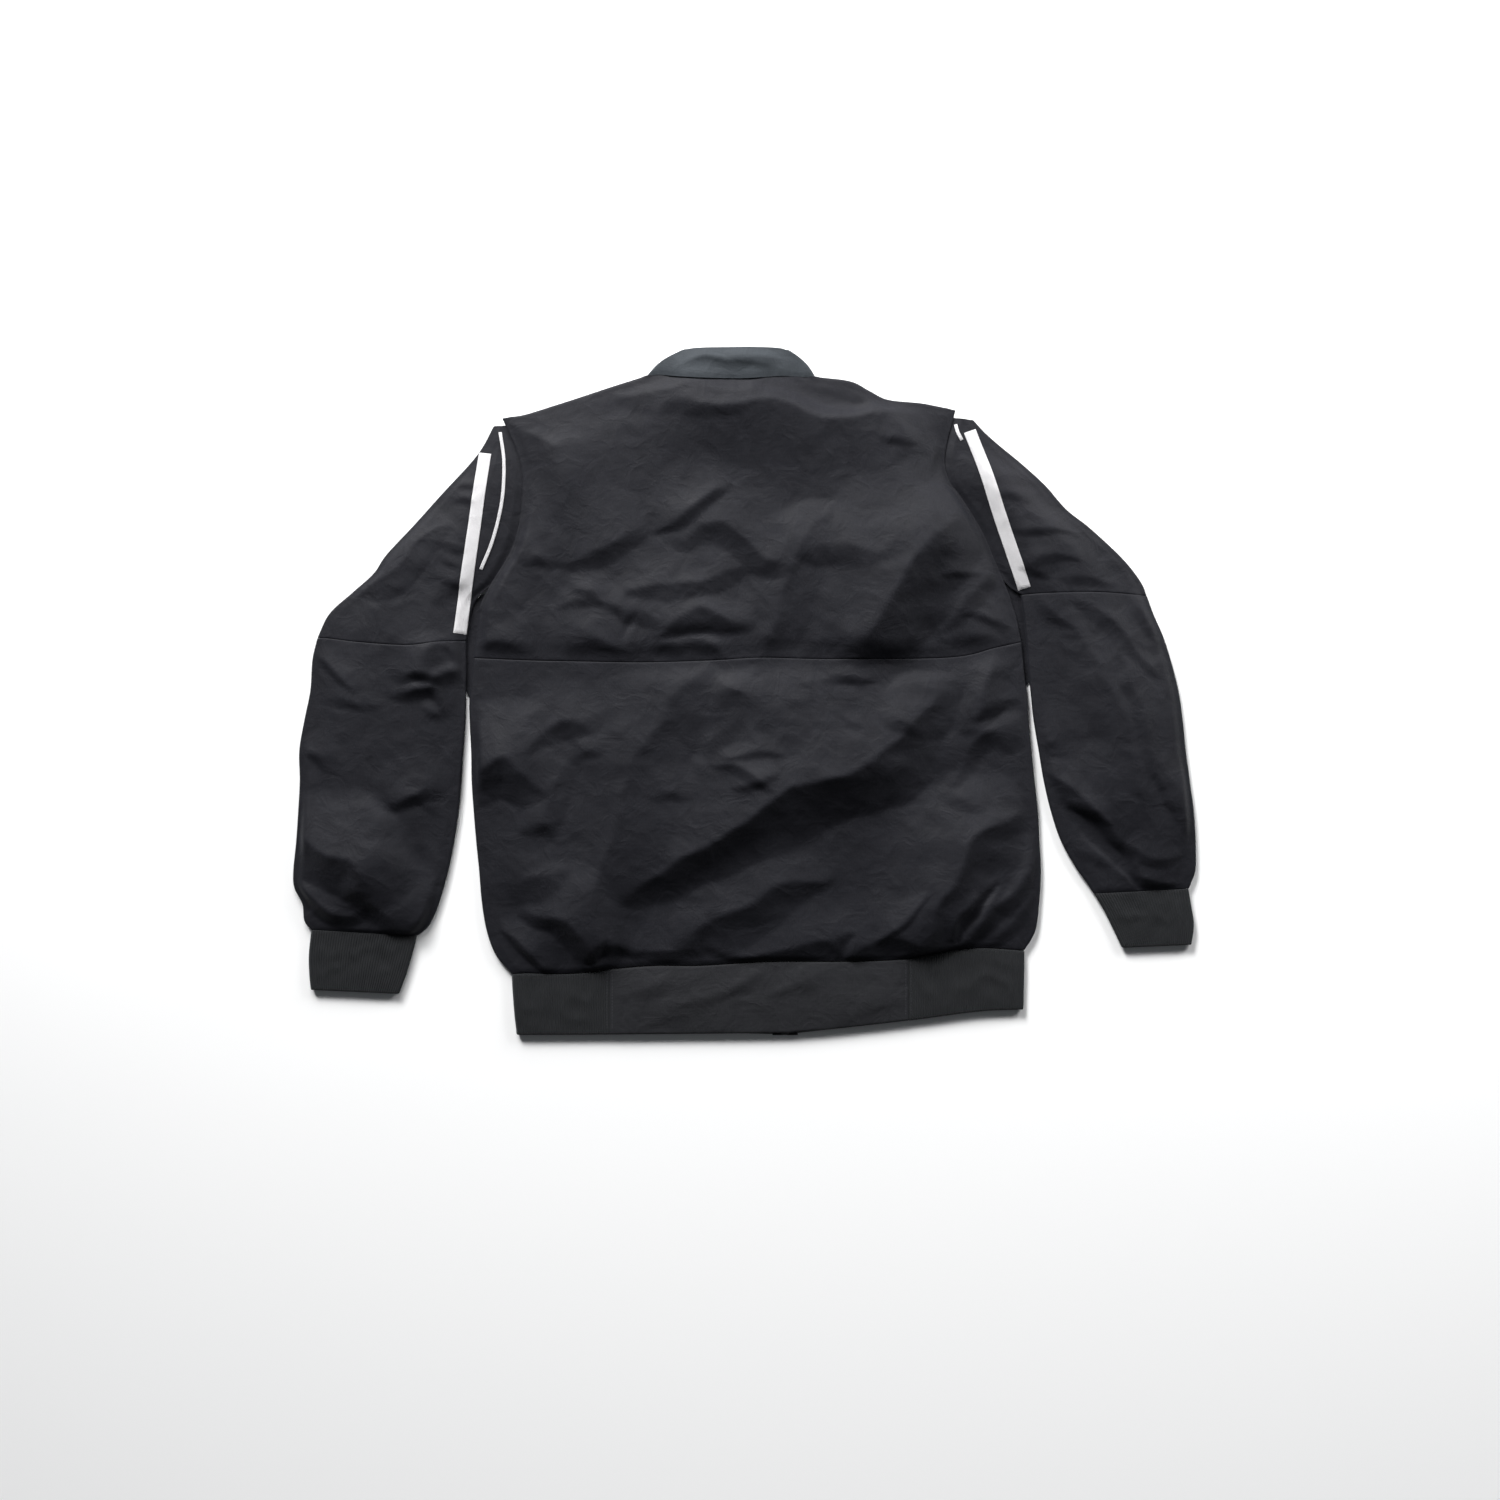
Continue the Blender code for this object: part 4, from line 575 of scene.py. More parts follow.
shoulder = (1 - sewn) * ease((from_side - SHOULDER_IN) / SHOULDER_FADE)
edge_rows = len(curl)
upper_back[:edge_rows, :, 2] -= shoulder * (TURN * (1 - np.cos(quarter)))[:, None]
upper_back[0, :, 2] = upper_back[0, :, 2] * (1 - shoulder) + FOOT * shoulder
level = np.linspace(SEAM / 2, curl[-1] * tall, edge_rows)
upper_back[:edge_rows, :, 1] -= (1 - shoulder) * (level - curl * tall)[:, None]


# Finish of the shell cloth

def fill(tree, made, inputs):
    """Sets a node's inputs to values, or links them to sockets."""
    for key, value in inputs.items():
        if isinstance(value, bpy.types.NodeSocket):
            tree.links.new(value, made.inputs[key])
        else:
            made.inputs[key].default_value = value


def node(tree, kind, inputs=None, **settings):
    """A shader node with its settings and its inputs."""
    made = tree.nodes.new(kind)
    for key, value in settings.items():
        setattr(made, key, value)
    fill(tree, made, inputs or {})
    return made


def calc(tree, operation, a, b=0.0, c=0.0):
    """The output of one Math node."""
    return node(tree, "ShaderNodeMath", {0: a, 1: b, 2: c}, operation=operation).outputs[0]


def effect(name, inputs, outputs):
    """An empty shader node group and its input and output nodes. Each socket is given as its
    name, its type and, for an input, its usual value."""
    tree = bpy.data.node_groups.new(name, "ShaderNodeTree")
    for socket, kind, usual in inputs:
        made = tree.interface.new_socket(socket, in_out="INPUT", socket_type=kind)
        if usual is not None:
            made.default_value = usual
    for socket, kind in outputs:
        tree.interface.new_socket(socket, in_out="OUTPUT", socket_type=kind)
    return tree, tree.nodes.new("NodeGroupInput"), tree.nodes.new("NodeGroupOutput")


def use(tree, group, inputs):
    """The outputs of a node group placed in a material, with its own values."""
    return node(tree, "ShaderNodeGroup", inputs, node_tree=group).outputs


FLOAT, VECTOR = "NodeSocketFloat", "NodeSocketVector"
SHELL_PITCH = 0.0006  # from thread to thread, in metres

# Plain weave: warp and weft are rounded threads that take turns to lie on top
weave, enter, leave = effect(
    "plain_weave", [("Walk", VECTOR, None), ("Pitch", FLOAT, 0.0005)], [("Height", FLOAT)]
)
walk = node(weave, "ShaderNodeSeparateXYZ", {0: enter.outputs["Walk"]})
threads = []
for axis in walk.outputs[:2]:
    turns = calc(weave, "DIVIDE", axis, enter.outputs["Pitch"])
    threads.append(calc(weave, "SINE", calc(weave, "MULTIPLY", turns, math.pi)))
over = calc(weave, "GREATER_THAN", calc(weave, "MULTIPLY", *threads), 0.0)
warp, weft = (calc(weave, "ABSOLUTE", thread) for thread in threads)
picked = calc(weave, "MULTIPLY", warp, over)
other = calc(weave, "MULTIPLY", weft, calc(weave, "SUBTRACT", 1.0, over))
weave.links.new(calc(weave, "ADD", picked, other), leave.inputs["Height"])

# Handled cloth: fine crinkles between the folds, and a faint cloudiness of its colour
crinkle, enter, leave = effect(
    "crinkle", [("Place", VECTOR, None), ("Size", FLOAT, 0.02)],
    [("Height", FLOAT), ("Cloud", FLOAT)],
)
closer = calc(crinkle, "DIVIDE", 1.0, enter.outputs["Size"])
broad = node(
    crinkle, "ShaderNodeTexNoise",
    {"Vector": enter.outputs["Place"], "Scale": closer, "Detail": 3.0, "Distortion": 0.6},
)
ridge = calc(crinkle, "ABSOLUTE", calc(crinkle, "SUBTRACT", broad.outputs["Fac"], 0.5))
finer = calc(crinkle, "MULTIPLY", closer, 4.0)
fine = node(
    crinkle, "ShaderNodeTexNoise",
    {"Vector": enter.outputs["Place"], "Scale": finer, "Detail": 4.0},
)
hollow = calc(crinkle, "MULTIPLY", ridge, -1.6)
sum_up = calc(crinkle, "MULTIPLY_ADD", fine.outputs["Fac"], 0.22, hollow)
crinkle.links.new(sum_up, leave.inputs["Height"])
crinkle.links.new(broad.outputs["Fac"], leave.inputs["Cloud"])

# Uneven yarns: faint streaks that run far along one thread and change quickly across
slub, enter, leave = effect("slub", [("Walk", VECTOR, None)], [("Streak", FLOAT)])
streaks = []
for scale in ((28, 620, 1), (900, 40, 1)):
    drawn = {"Vector": enter.outputs["Walk"], "Scale": scale}
    drawn = node(slub, "ShaderNodeMapping", drawn).outputs[0]
    noise = {"Vector": drawn, "Scale": 1.0, "Detail": 2.0}
    streaks.append(node(slub, "ShaderNodeTexNoise", noise).outputs["Fac"])
main = calc(slub, "MULTIPLY", streaks[0], 0.65)
slub.links.new(calc(slub, "MULTIPLY_ADD", streaks[1], 0.35, main), leave.inputs["Streak"])


def new_material(name, size):
    """A new material, its node tree, and the outputs of its crinkle of this size."""
    made = bpy.data.materials.new(name)
    made.use_nodes = True
    tree = made.node_tree
    place = node(tree, "ShaderNodeTexCoord").outputs["Object"]
    return made, tree, use(tree, crinkle, {"Place": place, "Size": size})


def cloth_walk(tree):
    """The walk along the cloth, across and down."""
    return node(tree, "ShaderNodeUVMap", uv_map="cloth").outputs["UV"]


def finish(tree, dark, light, share, bumps, rest):
    """Mixes two tones by a share, lays bumps over one another, each given as its height, its
    strength and its distance, and sets the rest of the shader's inputs."""
    tones = {"Factor": share, "A": (*dark, 1), "B": (*light, 1)}
    mixed = node(tree, "ShaderNodeMix", tones, data_type="RGBA").outputs["Result"]
    normal = {}
    for height, strength, distance in bumps:
        relief = {"Height": height, "Strength": strength, "Distance": distance, **normal}
        normal = {"Normal": node(tree, "ShaderNodeBump", relief).outputs[0]}
    fill(tree, tree.nodes["Principled BSDF"], {"Base Color": mixed, **normal, **rest})


def shell_finish(name, dark, light, roughness):
    """Matt polyester: the two tones clouded and streaked together, crinkled and woven."""
    made, tree, creased = new_material(name, 0.022)
    walk = cloth_walk(tree)
    woven = use(tree, weave, {"Walk": walk, "Pitch": SHELL_PITCH})["Height"]
    streak = calc(tree, "SUBTRACT", use(tree, slub, {"Walk": walk})["Streak"], 0.5)
    blend = calc(tree, "MULTIPLY_ADD", streak, 1.6, creased["Cloud"])
    bumps = (creased["Height"], 0.7, 0.0012), (woven, 0.35, 0.00012)
    finish(tree, dark, light, blend, bumps, {
        "Roughness": calc(tree, "MULTIPLY_ADD", creased["Cloud"], 0.12, roughness - 0.06),
        "Specular IOR Level": 0.16, "Sheen Weight": 0.02, "Sheen Roughness": 0.4,
        "Sheen Tint": (0.75, 0.85, 1.0, 1),
    })
    return made


shell = shell_finish("shell_cloth", (0.0059, 0.006, 0.0084), (0.01, 0.0102, 0.0138), 0.64)

back_lower = dress(wall("lower_back", lower_back, CLOTH), shell, ["back_lower"])
back_upper = dress(
    wall("upper_back", upper_back, CLOTH, square=(-1,)), shell, ["back_upper"]
)

# ==== The fronts ====
# Two plain panels of the same cloth, hidden under the back, with the zip sewn between them.
# They lie face down and flat, and lift only round the zip slider, which props them up.

ZIP_X_TOP, ZIP_X_HEM = -16.0, 41.0
ZIP_TOP, ZIP_END = 291.0, -342.6
ZIP_BEND_TOP, ZIP_BEND_LONG = 250.0, 560.0  # the stretch over which the closure swings over
OPENING = 4.5  # from the centre line to the edge of a front
LIFT, LIFT_NEAR, LIFT_FAR = 4.4, 30.0, 100.0  # how high the slider props the layers, and how far
FRONT_IN = 2.1  # a front lies just inside the outline of the back
FRONT_SHOULDER_IN, FRONT_HEM_IN, THROAT_IN, THROAT_HALF = 2.5, 1.0, 2.0, 86.0
FRONT_STEP = 6.0
UNDERARM = {  # how far a front's fullness comes out beside the back, at these heights
    "left": [
        (-8, 0), (-1, 6.1), (25, 8.4), (51, 11.9), (76, 10.9), (90, 11.2), (95, 9), (101, 0),
    ],
    "right": [
        (4, 0), (10, 6.4), (50, 7.4), (77, 10.4), (95, 13.8), (102, 11.5), (107, 6), (111, 0),
    ],
}
CORNER_CROWD = 0.5  # a side ends this far above the corner that closes it
FRONT_NECK_LEFT = [(-97, 317), (-90, 290), (-62, 268), (ZIP_X_TOP - OPENING, 259)]
FRONT_NECK_RIGHT = [(ZIP_X_TOP + OPENING, 259), (32, 268), (62, 290), (71, 316.6)]


def zip_x(y):
    """The closure's X at these heights: it swings over from the throat to the hem."""
    return ZIP_X_TOP + (ZIP_X_HEM - ZIP_X_TOP) * ease((ZIP_BEND_TOP - y) / ZIP_BEND_LONG)


def centre_line(y0, y1, side):
    """The edge by the zip of what lies on one side of it."""
    y = np.linspace(y0, y1, 60)
    return np.stack([zip_x(y) + side * OPENING, y], axis=1)


def front_lift(x, y):
    """How far the slider lifts the layers that lie face down: level near it, then an ease."""
    away = np.hypot(x - ZIP_X_TOP, y - ZIP_TOP)
    return LIFT * (1 - ease((away - LIFT_NEAR) / (LIFT_FAR - LIFT_NEAR)))


def offset(line, distance):
    """The line moved to the left of its run by a distance."""
    run = np.gradient(line, axis=0)
    run /= np.linalg.norm(run, axis=1)[:, None]
    return line + distance * np.stack([-run[:, 1], run[:, 0]], axis=1)


hem = smooth(HEM_SEAM) + (0, FRONT_HEM_IN)
split = np.searchsorted(hem[:, 0], ZIP_X_HEM)
for side, sign, upper_side, lower_side, shoulder, collar in (
    ("left", -1, UPPER_LEFT, LOWER_LEFT, SHOULDER_LEFT, FRONT_NECK_LEFT),
    ("right", 1, UPPER_RIGHT, LOWER_RIGHT, SHOULDER_RIGHT[::-1], FRONT_NECK_RIGHT[::-1]),
):
    outline = smooth([row[:2] for row in upper_side[:-1]] + lower_side[:-1])
    outline = offset(outline, -sign * FRONT_IN)
    outline[:, 0] += sign * np.interp(outline[:, 1], *zip(*UNDERARM[side]))
    shoulder = smooth(shoulder) - (sign * FRONT_SHOULDER_IN, FRONT_SHOULDER_IN)
    shoulder = shoulder[sign * (shoulder[:, 0] - ZIP_X_TOP) > THROAT_HALF]
    throat = offset(smooth(collar), sign * THROAT_IN)
    throat = throat[throat[:, 1] < shoulder[-1, 1]]
    top = np.vstack([shoulder, throat])
    centre = centre_line(throat[-1, 1], np.interp(ZIP_X_HEM, hem[:, 0], hem[:, 1]), sign)
    base = hem[:split] if sign < 0 else hem[split:][::-1]
    base = np.vstack([base[1:], centre[-1:]])
    outline = outline[outline[:, 1] > base[0, 1] + CORNER_CROWD]
    outline = np.vstack([top[:1], outline[1:], base[:1]])
    corner = walked(shoulder)[-1] / walked(top)[-1]
    u = np.concatenate([np.linspace(0, corner, 20), np.linspace(corner, 1, 40)[1:]])
    v = np.linspace(0, 1, round(walked(outline)[-1] / FRONT_STEP))
    flat = patch(top, base, outline, centre, u[None, :], v)
    if sign > 0:
        flat = flat[:, ::-1]
    height = CLOTH / 2 + front_lift(flat[..., 0], flat[..., 1])
    front = wall(f"front_panel_{side}", np.dstack([flat, height]), CLOTH)
    dress(front, shell, [f"front_{side}"])

# ==== The sleeves ====
# Each is cut in two, joined by a level seam at the elbow, and lies pressed flat. The upper part
# is open at the armhole, where its edge passes under the back. The lower is gathered to a cuff.

LAP, LAP_FLAT, LAP_FADE = 1.6, 3.0, 9.0  # how far a sleeve dips to pass under the back
ARMHOLE_IN = 4.3  # from the armhole seam to the edge of a sleeve's bottom layer
UNDER_STEP = 7.0  # between the columns of a bottom layer

SLEEVE_FOLDS = [
    # left sleeve, upper part
    Fold(7.4, 44, 28, [
        (-380, 104, 0.4), (-353, 116, 0.9), (-336, 135, 0.9), (-319, 158, 0.7), (-298, 167, 0.3),
    ]),
    Fold(2.2, 22, 7, [(-300, 152, 0.3), (-288, 149, 1), (-278, 143, 0.5)]),
    Fold(1.8, 19, 6, [(-298, 133, 0.3), (-288, 131, 1), (-280, 127, 0.5)]),
    Fold(1.8, 22, 7, [(-298, 114, 0.3), (-290, 113, 1), (-282, 111, 0.5)]),
    Fold(2, 22, 7, [(-290, 193, 0.3), (-280, 193, 1), (-272, 190, 0.5)]),
    Fold(2, 22, 7, [(-288, 208, 0.3), (-278, 208, 1), (-270, 206, 0.5)]),
    # left sleeve, the star of creases inside the elbow
    Fold(5.9, 61, 19, [(-326, 27, 0.4), (-313, 42, 1), (-298, 47, 0.9), (-287, 40, 0.4)]),
    Fold(4.3, 38, 12, [(-338, 17, 0.4), (-325, 24, 1), (-311, 17, 0.5)]),
    Fold(5.3, 48, 15, [(-307, 12, 0.4), (-292, 20, 1), (-279, 20, 0.6)]),
    Fold(5.3, 42, 13, [
        (-344, -1, 0.4), (-325, 3, 1), (-308, 2, 0.9), (-298, -8, 0.6), (-295, -20, 0.3),
    ]),
    Fold(2.3, 19, 6, [(-320, -18, 0.3), (-307, -24, 1), (-297, -21, 0.4)]),
    Fold(1.3, 7, 6, [
        (-333, 20, 0.4), (-318, 18, 1), (-305, 14, 1), (-293, 18, 1), (-282, 21, 0.4),
    ]),
    Fold(1.2, 7, 6, [(-340, -2, 0.4), (-326, 1, 1), (-313, 2, 1), (-305, 14, 0.6)]),
    Fold(1.1, 7, 6, [(-313, 2, 0.6), (-304, -9, 1), (-297, -22, 0.4)]),
    # left sleeve, the outer side and the forearm
    Fold(3.6, 26, 8, [(-425, 31, 0.4), (-408, 20, 1), (-390, 7, 0.5)]),
    Fold(2.3, 32, 10, [(-420, -10, 0.3), (-395, -6, 1), (-362, -11, 0.3)]),
    Fold(2.7, 26, 8, [(-435, -60, 0.4), (-427, -61, 1), (-419, -73, 0.4)]),
    Fold(4.6, 42, 13, [(-350, -111, 0.4), (-334, -103, 1), (-318, -99, 0.9), (-308, -104, 0.3)]),
    Fold(-1.6, 13, 7, [(-320, -118, 0.4), (-312, -142, 1), (-303, -161, 0.4)]),
    Fold(5, 51, 16, [(-438, -142, 0.5), (-439, -110, 1), (-439, -80, 0.8), (-437, -50, 0.3)]),
    Fold(15.7, 68, 34, [
        (-446, -140, 0.4), (-428, -151, 0.8), (-410, -162, 1), (-392, -169, 1),
        (-380, -181, 0.85), (-371, -199, 0.35),
    ]),
    Fold(8.2, 45, 10, [
        (-449, -188, 0.5), (-432, -203, 1), (-412, -216, 1), (-392, -221, 0.7), (-378, -216, 0.3),
    ]),
    Fold(2.8, 22, 7, [(-397, -204, 0.3), (-386, -200, 1), (-374, -203, 0.5)]),
    Fold(7.6, 74, 14, [(-394, -207, 0.3), (-376, -208, 0.8), (-358, -220, 1), (-345, -237, 0.4)]),
    Fold(5.5, 70, 22, [(-351, -188, 0.4), (-356, -165, 1), (-362, -140, 0.9), (-368, -112, 0.3)]),
    Fold(6.6, 74, 11, [(-340, -233, 0.3), (-323, -227, 0.8), (-309, -211, 0.4)]),
    # right sleeve, upper part
    Fold(2.8, 29, 9, [(271, 163, 0.4), (290, 162, 1), (312, 163, 0.6), (334, 159, 0.2)]),
    Fold(2.3, 32, 10, [(250, 214, 0.4), (270, 215, 1), (292, 212, 0.4)]),
    Fold(2, 26, 8, [(257, 198, 0.3), (268, 198, 1), (281, 193, 0.3)]),
    Fold(2.8, 32, 10, [(281, 124, 0.3), (300, 134, 1), (332, 130, 0.4)]),
    Fold(2.2, 22, 7, [(277, 122, 0.4), (291, 120, 1), (303, 113, 0.3)]),
    Fold(2, 29, 9, [(318, 112, 0.3), (345, 116, 1), (372, 111, 0.3)]),
    # right sleeve, lower part
    Fold(3.2, 35, 11, [(293, 94, 0.4), (306, 82, 1), (323, 69, 0.5)]),
    Fold(5, 48, 15, [
        (335, 92, 0.3), (352, 84, 0.7), (365, 73, 1), (376, 57, 0.9), (390, 38, 0.6),
        (406, 19, 0.3),
    ]),
    Fold(2.8, 32, 10, [(387, 93, 0.4), (400, 75, 1), (411, 54, 0.4)]),
    Fold(11.5, 94, 52, [
        (328, 62, 0.3), (358, 22, 0.7), (378, -30, 1), (391, -80, 1), (405, -128, 0.8),
        (418, -152, 0.3),
    ]),
    Fold(2.2, 50, 16, [
        (430, -180, 0.4), (434, -100, 1), (427, -20, 1), (412, 50, 1), (399, 88, 0.5),
    ]),
    Fold(3.2, 35, 11, [
        (371, 42, 0.3), (386, 10, 0.9), (396, -25, 1), (408, -65, 0.8), (426, -112, 0.3),
    ]),
    Fold(8.5, 59, 15, [
        (307, -83, 0.4), (322, -92, 0.8), (338, -108, 1), (355, -128, 0.8), (373, -152, 0.4),
    ]),
    Fold(-8.1, 16, 7, [
        (319, -115, 0.4), (335, -130, 1), (352, -148, 1), (370, -166, 1), (385, -182, 0.7),
        (393, -196, 0.3),
    ]),
    Fold(2.7, 16, 5, [(323, -114, 0.4), (342, -119, 1), (359, -131, 0.4)]),
    Fold(3.9, 42, 13, [(294, -47, 0.4), (306, -48, 1), (321, -57, 0.4)]),
    Fold(2.8, 29, 9, [(384, -151, 0.4), (405, -160, 1), (432, -163, 0.4)]),
    Fold(5.5, 42, 13, [(385, -178, 0.5), (402, -183, 1), (425, -190, 0.5)]),
    Fold(2.3, 29, 9, [(329, -151, 0.3), (345, -160, 1), (359, -173, 0.3)]),
    Fold(2.8, 42, 13, [(416, -68, 0.3), (430, -100, 1), (439, -132, 0.4)]),
]

# A row for each section: the left and the right end of the section, in plan
Section = namedtuple("Section", "ax ay bx by free")
SLEEVE_UPPER_LEFT = table(
    Section,
    (-250, 265, -237, 266, 0), (-261, 244, -225, 240, 0), (-274, 227, -218, 215, 0),
    (-302, 197, -219, 190, 0), (-329, 167, -222, 166, 0), (-357, 137, -230, 142, 0),
    (-370, 118, -246, 113, 0), (-391, 99, -266, 94, 0), (-414, 78, -273, 76, 1),
    (-426, 54, -277, 51, 1),
)
SLEEVE_LOWER_LEFT = table(
    Section,
    (-426, 54, -277, 51, 1), (-431, 32, -277, 25, 1), (-433, 2, -277.5, 0, 1),
    (-439, -28, -278, -28, 1), (-444, -58, -280, -58, 1), (-443.5, -88, -282, -88, 1),
    (-445, -118, -284.5, -118, 1), (-447, -148, -289, -148, 1), (-450, -178, -295, -178, 1),
    (-449, -195, -301, -200, 1), (-441, -211, -307, -218, 1), (-439, -228, -315, -234, 1),
    (-432, -237, -326, -243, 1),
)
SLEEVE_UPPER_RIGHT = table(
    Section,
    (207, 274, 229, 271, 0), (200, 250, 240, 259, 0), (197, 228, 256, 245, 0),
    (203, 206, 278, 227, 0), (213, 193, 301, 206, 0), (224, 177, 322, 182, 0),
    (234, 159, 346, 163, 0), (248, 127, 378, 133, 0), (264, 106, 396, 110, 0),
    (276, 97, 402, 96, 1),
)
SLEEVE_LOWER_RIGHT = table(
    Section,
    (276, 97, 402, 96, 1), (279, 77, 409, 77, 1), (282, 50, 419, 54, 1),
    (284, 20, 428, 25, 1), (286, 0, 434, 0, 1), (289, -28, 438, -28, 1),
    (294, -58, 441, -58, 1), (299, -88, 445, -88, 1), (306, -118, 449, -118, 1),
    (316, -148, 451, -148, 1), (331, -175, 451, -176, 1), (341, -189, 447, -189, 1),
    (349, -201, 444, -196, 1),
)
ELBOW_LEFT = [(-426, 54), (-414, 53.5), (-381, 49.5), (-334, 46.5), (-304, 50), (-277, 51)]
ELBOW_RIGHT = [(276, 97), (300, 98.5), (353, 99.5), (402, 96)]


def half_round(start, end, out, steps=7):
    """Columns on a half circle from one column to another, bulging towards out (+1 is +X)."""
    middle, arm = (start + end) / 2, (end - start) / 2
    radius = np.linalg.norm(arm, axis=-1)[:, None, None]
    angle = np.pi * np.arange(1, steps + 1)[None, :, None] / (steps + 1)
    swing = out * radius * np.sin(angle) * np.array([1.0, 0, 0])
    return middle[:, None] - arm[:, None] * np.cos(angle) + swing


def wrapped(over, under, out):
    """A top and a bottom layer, joined by a half-round turn on one side (+1 is +X)."""
    if out < 0:
        return np.concatenate([under, half_round(under[:, -1], over[:, 0], -1), over], axis=1)
    return np.concatenate([over, half_round(over[:, -1], under[:, 0], 1), under], axis=1)


def end_line(section):
    """The line across a flat tube at one section."""
    return np.array([section[0:2], section[2:4]], float)


def reach(sections):
    """The mean length of a flat tube's two sides."""
    sides = [(s.ax, s.ay) for s in sections], [(s.bx, s.by) for s in sections]
    return sum(walked(smooth(side))[-1] for side in sides) / 2


def flat_tube(sections, top, bottom, v, closed, arm, thick, columns, under, lie):
    """Middle points of a sleeve or cuff pressed flat: a top layer, a half-round turn at the
    free edge and a bottom layer. lie gives the top layer's height over its rest from its plan
    points, its row shares and its distance from the sides. A tube that isn't closed is open at
    the armhole, where its top layer dips under the back and, past the armpit, turns down."""
    left, free_at = side_line([Side(s.ax, s.ay, s.free) for s in sections])
    right, _ = side_line([Side(s.bx, s.by, s.free) for s in sections])
    free = free_at(v)
    width = np.linalg.norm(along(right, v) - along(left, v), axis=1)[:, None]
    inset = (TURN + thick / 2) / width
    shares = np.linspace(0, 1, columns)[None, :]
    under_shares = np.linspace(0, 1, under)[None, :]
    if closed:
        u = inset + (1 - 2 * inset) * shares
        lower = inset + (1 - 2 * inset) * under_shares
        drop = foot = dip = np.zeros_like(u)
    else:
        away, fall, end = edge_columns(free)
        inner = inset + (1 - away[:, :1] / width - inset) * shares[:, :-1]
        u = np.concatenate([inner, 1 - away / width], axis=1)
        blank = np.zeros((len(v), columns - 1))
        drop = np.concatenate([blank, fall], axis=1)
        foot = np.concatenate([blank, end], axis=1)
        past = ease(((1 - u) * width - LAP_FLAT) / LAP_FADE)
        dip = (1 - free[:, None]) * LAP * (1 - past)
        last = 1 - ARMHOLE_IN / width * (1 - free[:, None]) - inset * free[:, None]
        lower = inset + (last - inset) * under_shares
        if arm > 0:
            u, lower = 1 - u[:, ::-1], 1 - lower[:, ::-1]
            drop, foot, dip = drop[:, ::-1], foot[:, ::-1], dip[:, ::-1]
    upper = patch(top, bottom, left, right, u, v)
    bottom_layer = patch(top, bottom, left, right, lower, v)
    near = np.minimum(u, 1 - u) * width
    height = thick / 2 + LAYER + lie(upper[..., 0], upper[..., 1], v[:, None], near) - dip
    height = (height - drop) * (1 - foot) + FOOT * foot
    upper = np.dstack([upper, height])
    under = np.dstack([bottom_layer, np.full(bottom_layer.shape[:2], thick / 2)])[:, ::-1]
    if closed:
        back = half_round(under[:, -1], upper[:, 0], -1)
        return np.concatenate([wrapped(upper, under, 1), back], axis=1)
    return wrapped(upper, under, arm)


sleeve_tops = {}
for side, arm, upper, lower, elbow in (
    ("left", -1, SLEEVE_UPPER_LEFT, SLEEVE_LOWER_LEFT, ELBOW_LEFT),
    ("right", 1, SLEEVE_UPPER_RIGHT, SLEEVE_LOWER_RIGHT, ELBOW_RIGHT),
):
    box = (-445, -235, -280, 200) if side == "left" else (290, -195, 445, 200)
    folds = SLEEVE_FOLDS + crumples(6, 70, box, 0.45)
    seam = smooth(elbow)
    start, end = end_line(upper[0]), end_line(lower[-1])
    for part, sections, top, bottom, closed, flat, area in (
        ("upper", upper, start, seam, False, (0.30, 0.25), 0.043),
        ("lower", lower, seam, end, True, (0.33, 0.31), 0.090),
    ):
        tall = reach(sections)
        v = seam_rows(tall, closed, True)

        def lie(x, y, down, near, tall=tall, closed=closed):
            """The drape, gathered at the cuff, less the roll into the seams."""
            share = gathered(down, tall) if closed else 1
            dip = roll(tall - down * tall) + (roll(down * tall) if closed else 0)
            return share * drape(x, y, folds, near) - dip

        width = max(math.hypot(s.bx - s.ax, s.by - s.ay) for s in sections)
        grid = flat_tube(
            sections, top, bottom, v, closed, arm, CLOTH, round(width / STEP),
            round(width / UNDER_STEP), lie,
        )
        if not closed:
            sleeve_tops[side] = grid
        sleeve = wall(f"{part}_sleeve_{side}", grid, CLOTH, closed=closed)
        dress(sleeve, shell, [f"sleeve_{part}_{side}"])

# ==== The cuffs ====
# Tubes of fine rib knit, doubled at the wrist, which hold the sleeves' ends gathered. The ribs
# run down the arm and draw closer together towards the hand.

RIB = 1.8  # thickness of the doubled knit
RIB_PITCH, RIB_DEPTH = 2.4, 0.5
RIB_SAMPLES = 6  # mesh columns across one rib
RIB_ROW_STEP = 3.0
CUFF_SWELL, CUFF_SWELL_FADE, CUFF_RUMPLE = 0.9, 20, 26  # its height, its edges and its waves

CUFF_LEFT = table(
    Section,
    (-432, -237, -326, -243, 1), (-434.5, -262, -331, -262, 1), (-434, -282, -337, -282, 1),
    (-432.5, -297, -344, -301, 1),
)
CUFF_RIGHT = table(
    Section,
    (349, -201, 444, -196, 1), (358, -216, 446.5, -212, 1), (368, -236, 449.5, -232, 1),
    (377, -255, 447, -252, 1),
)

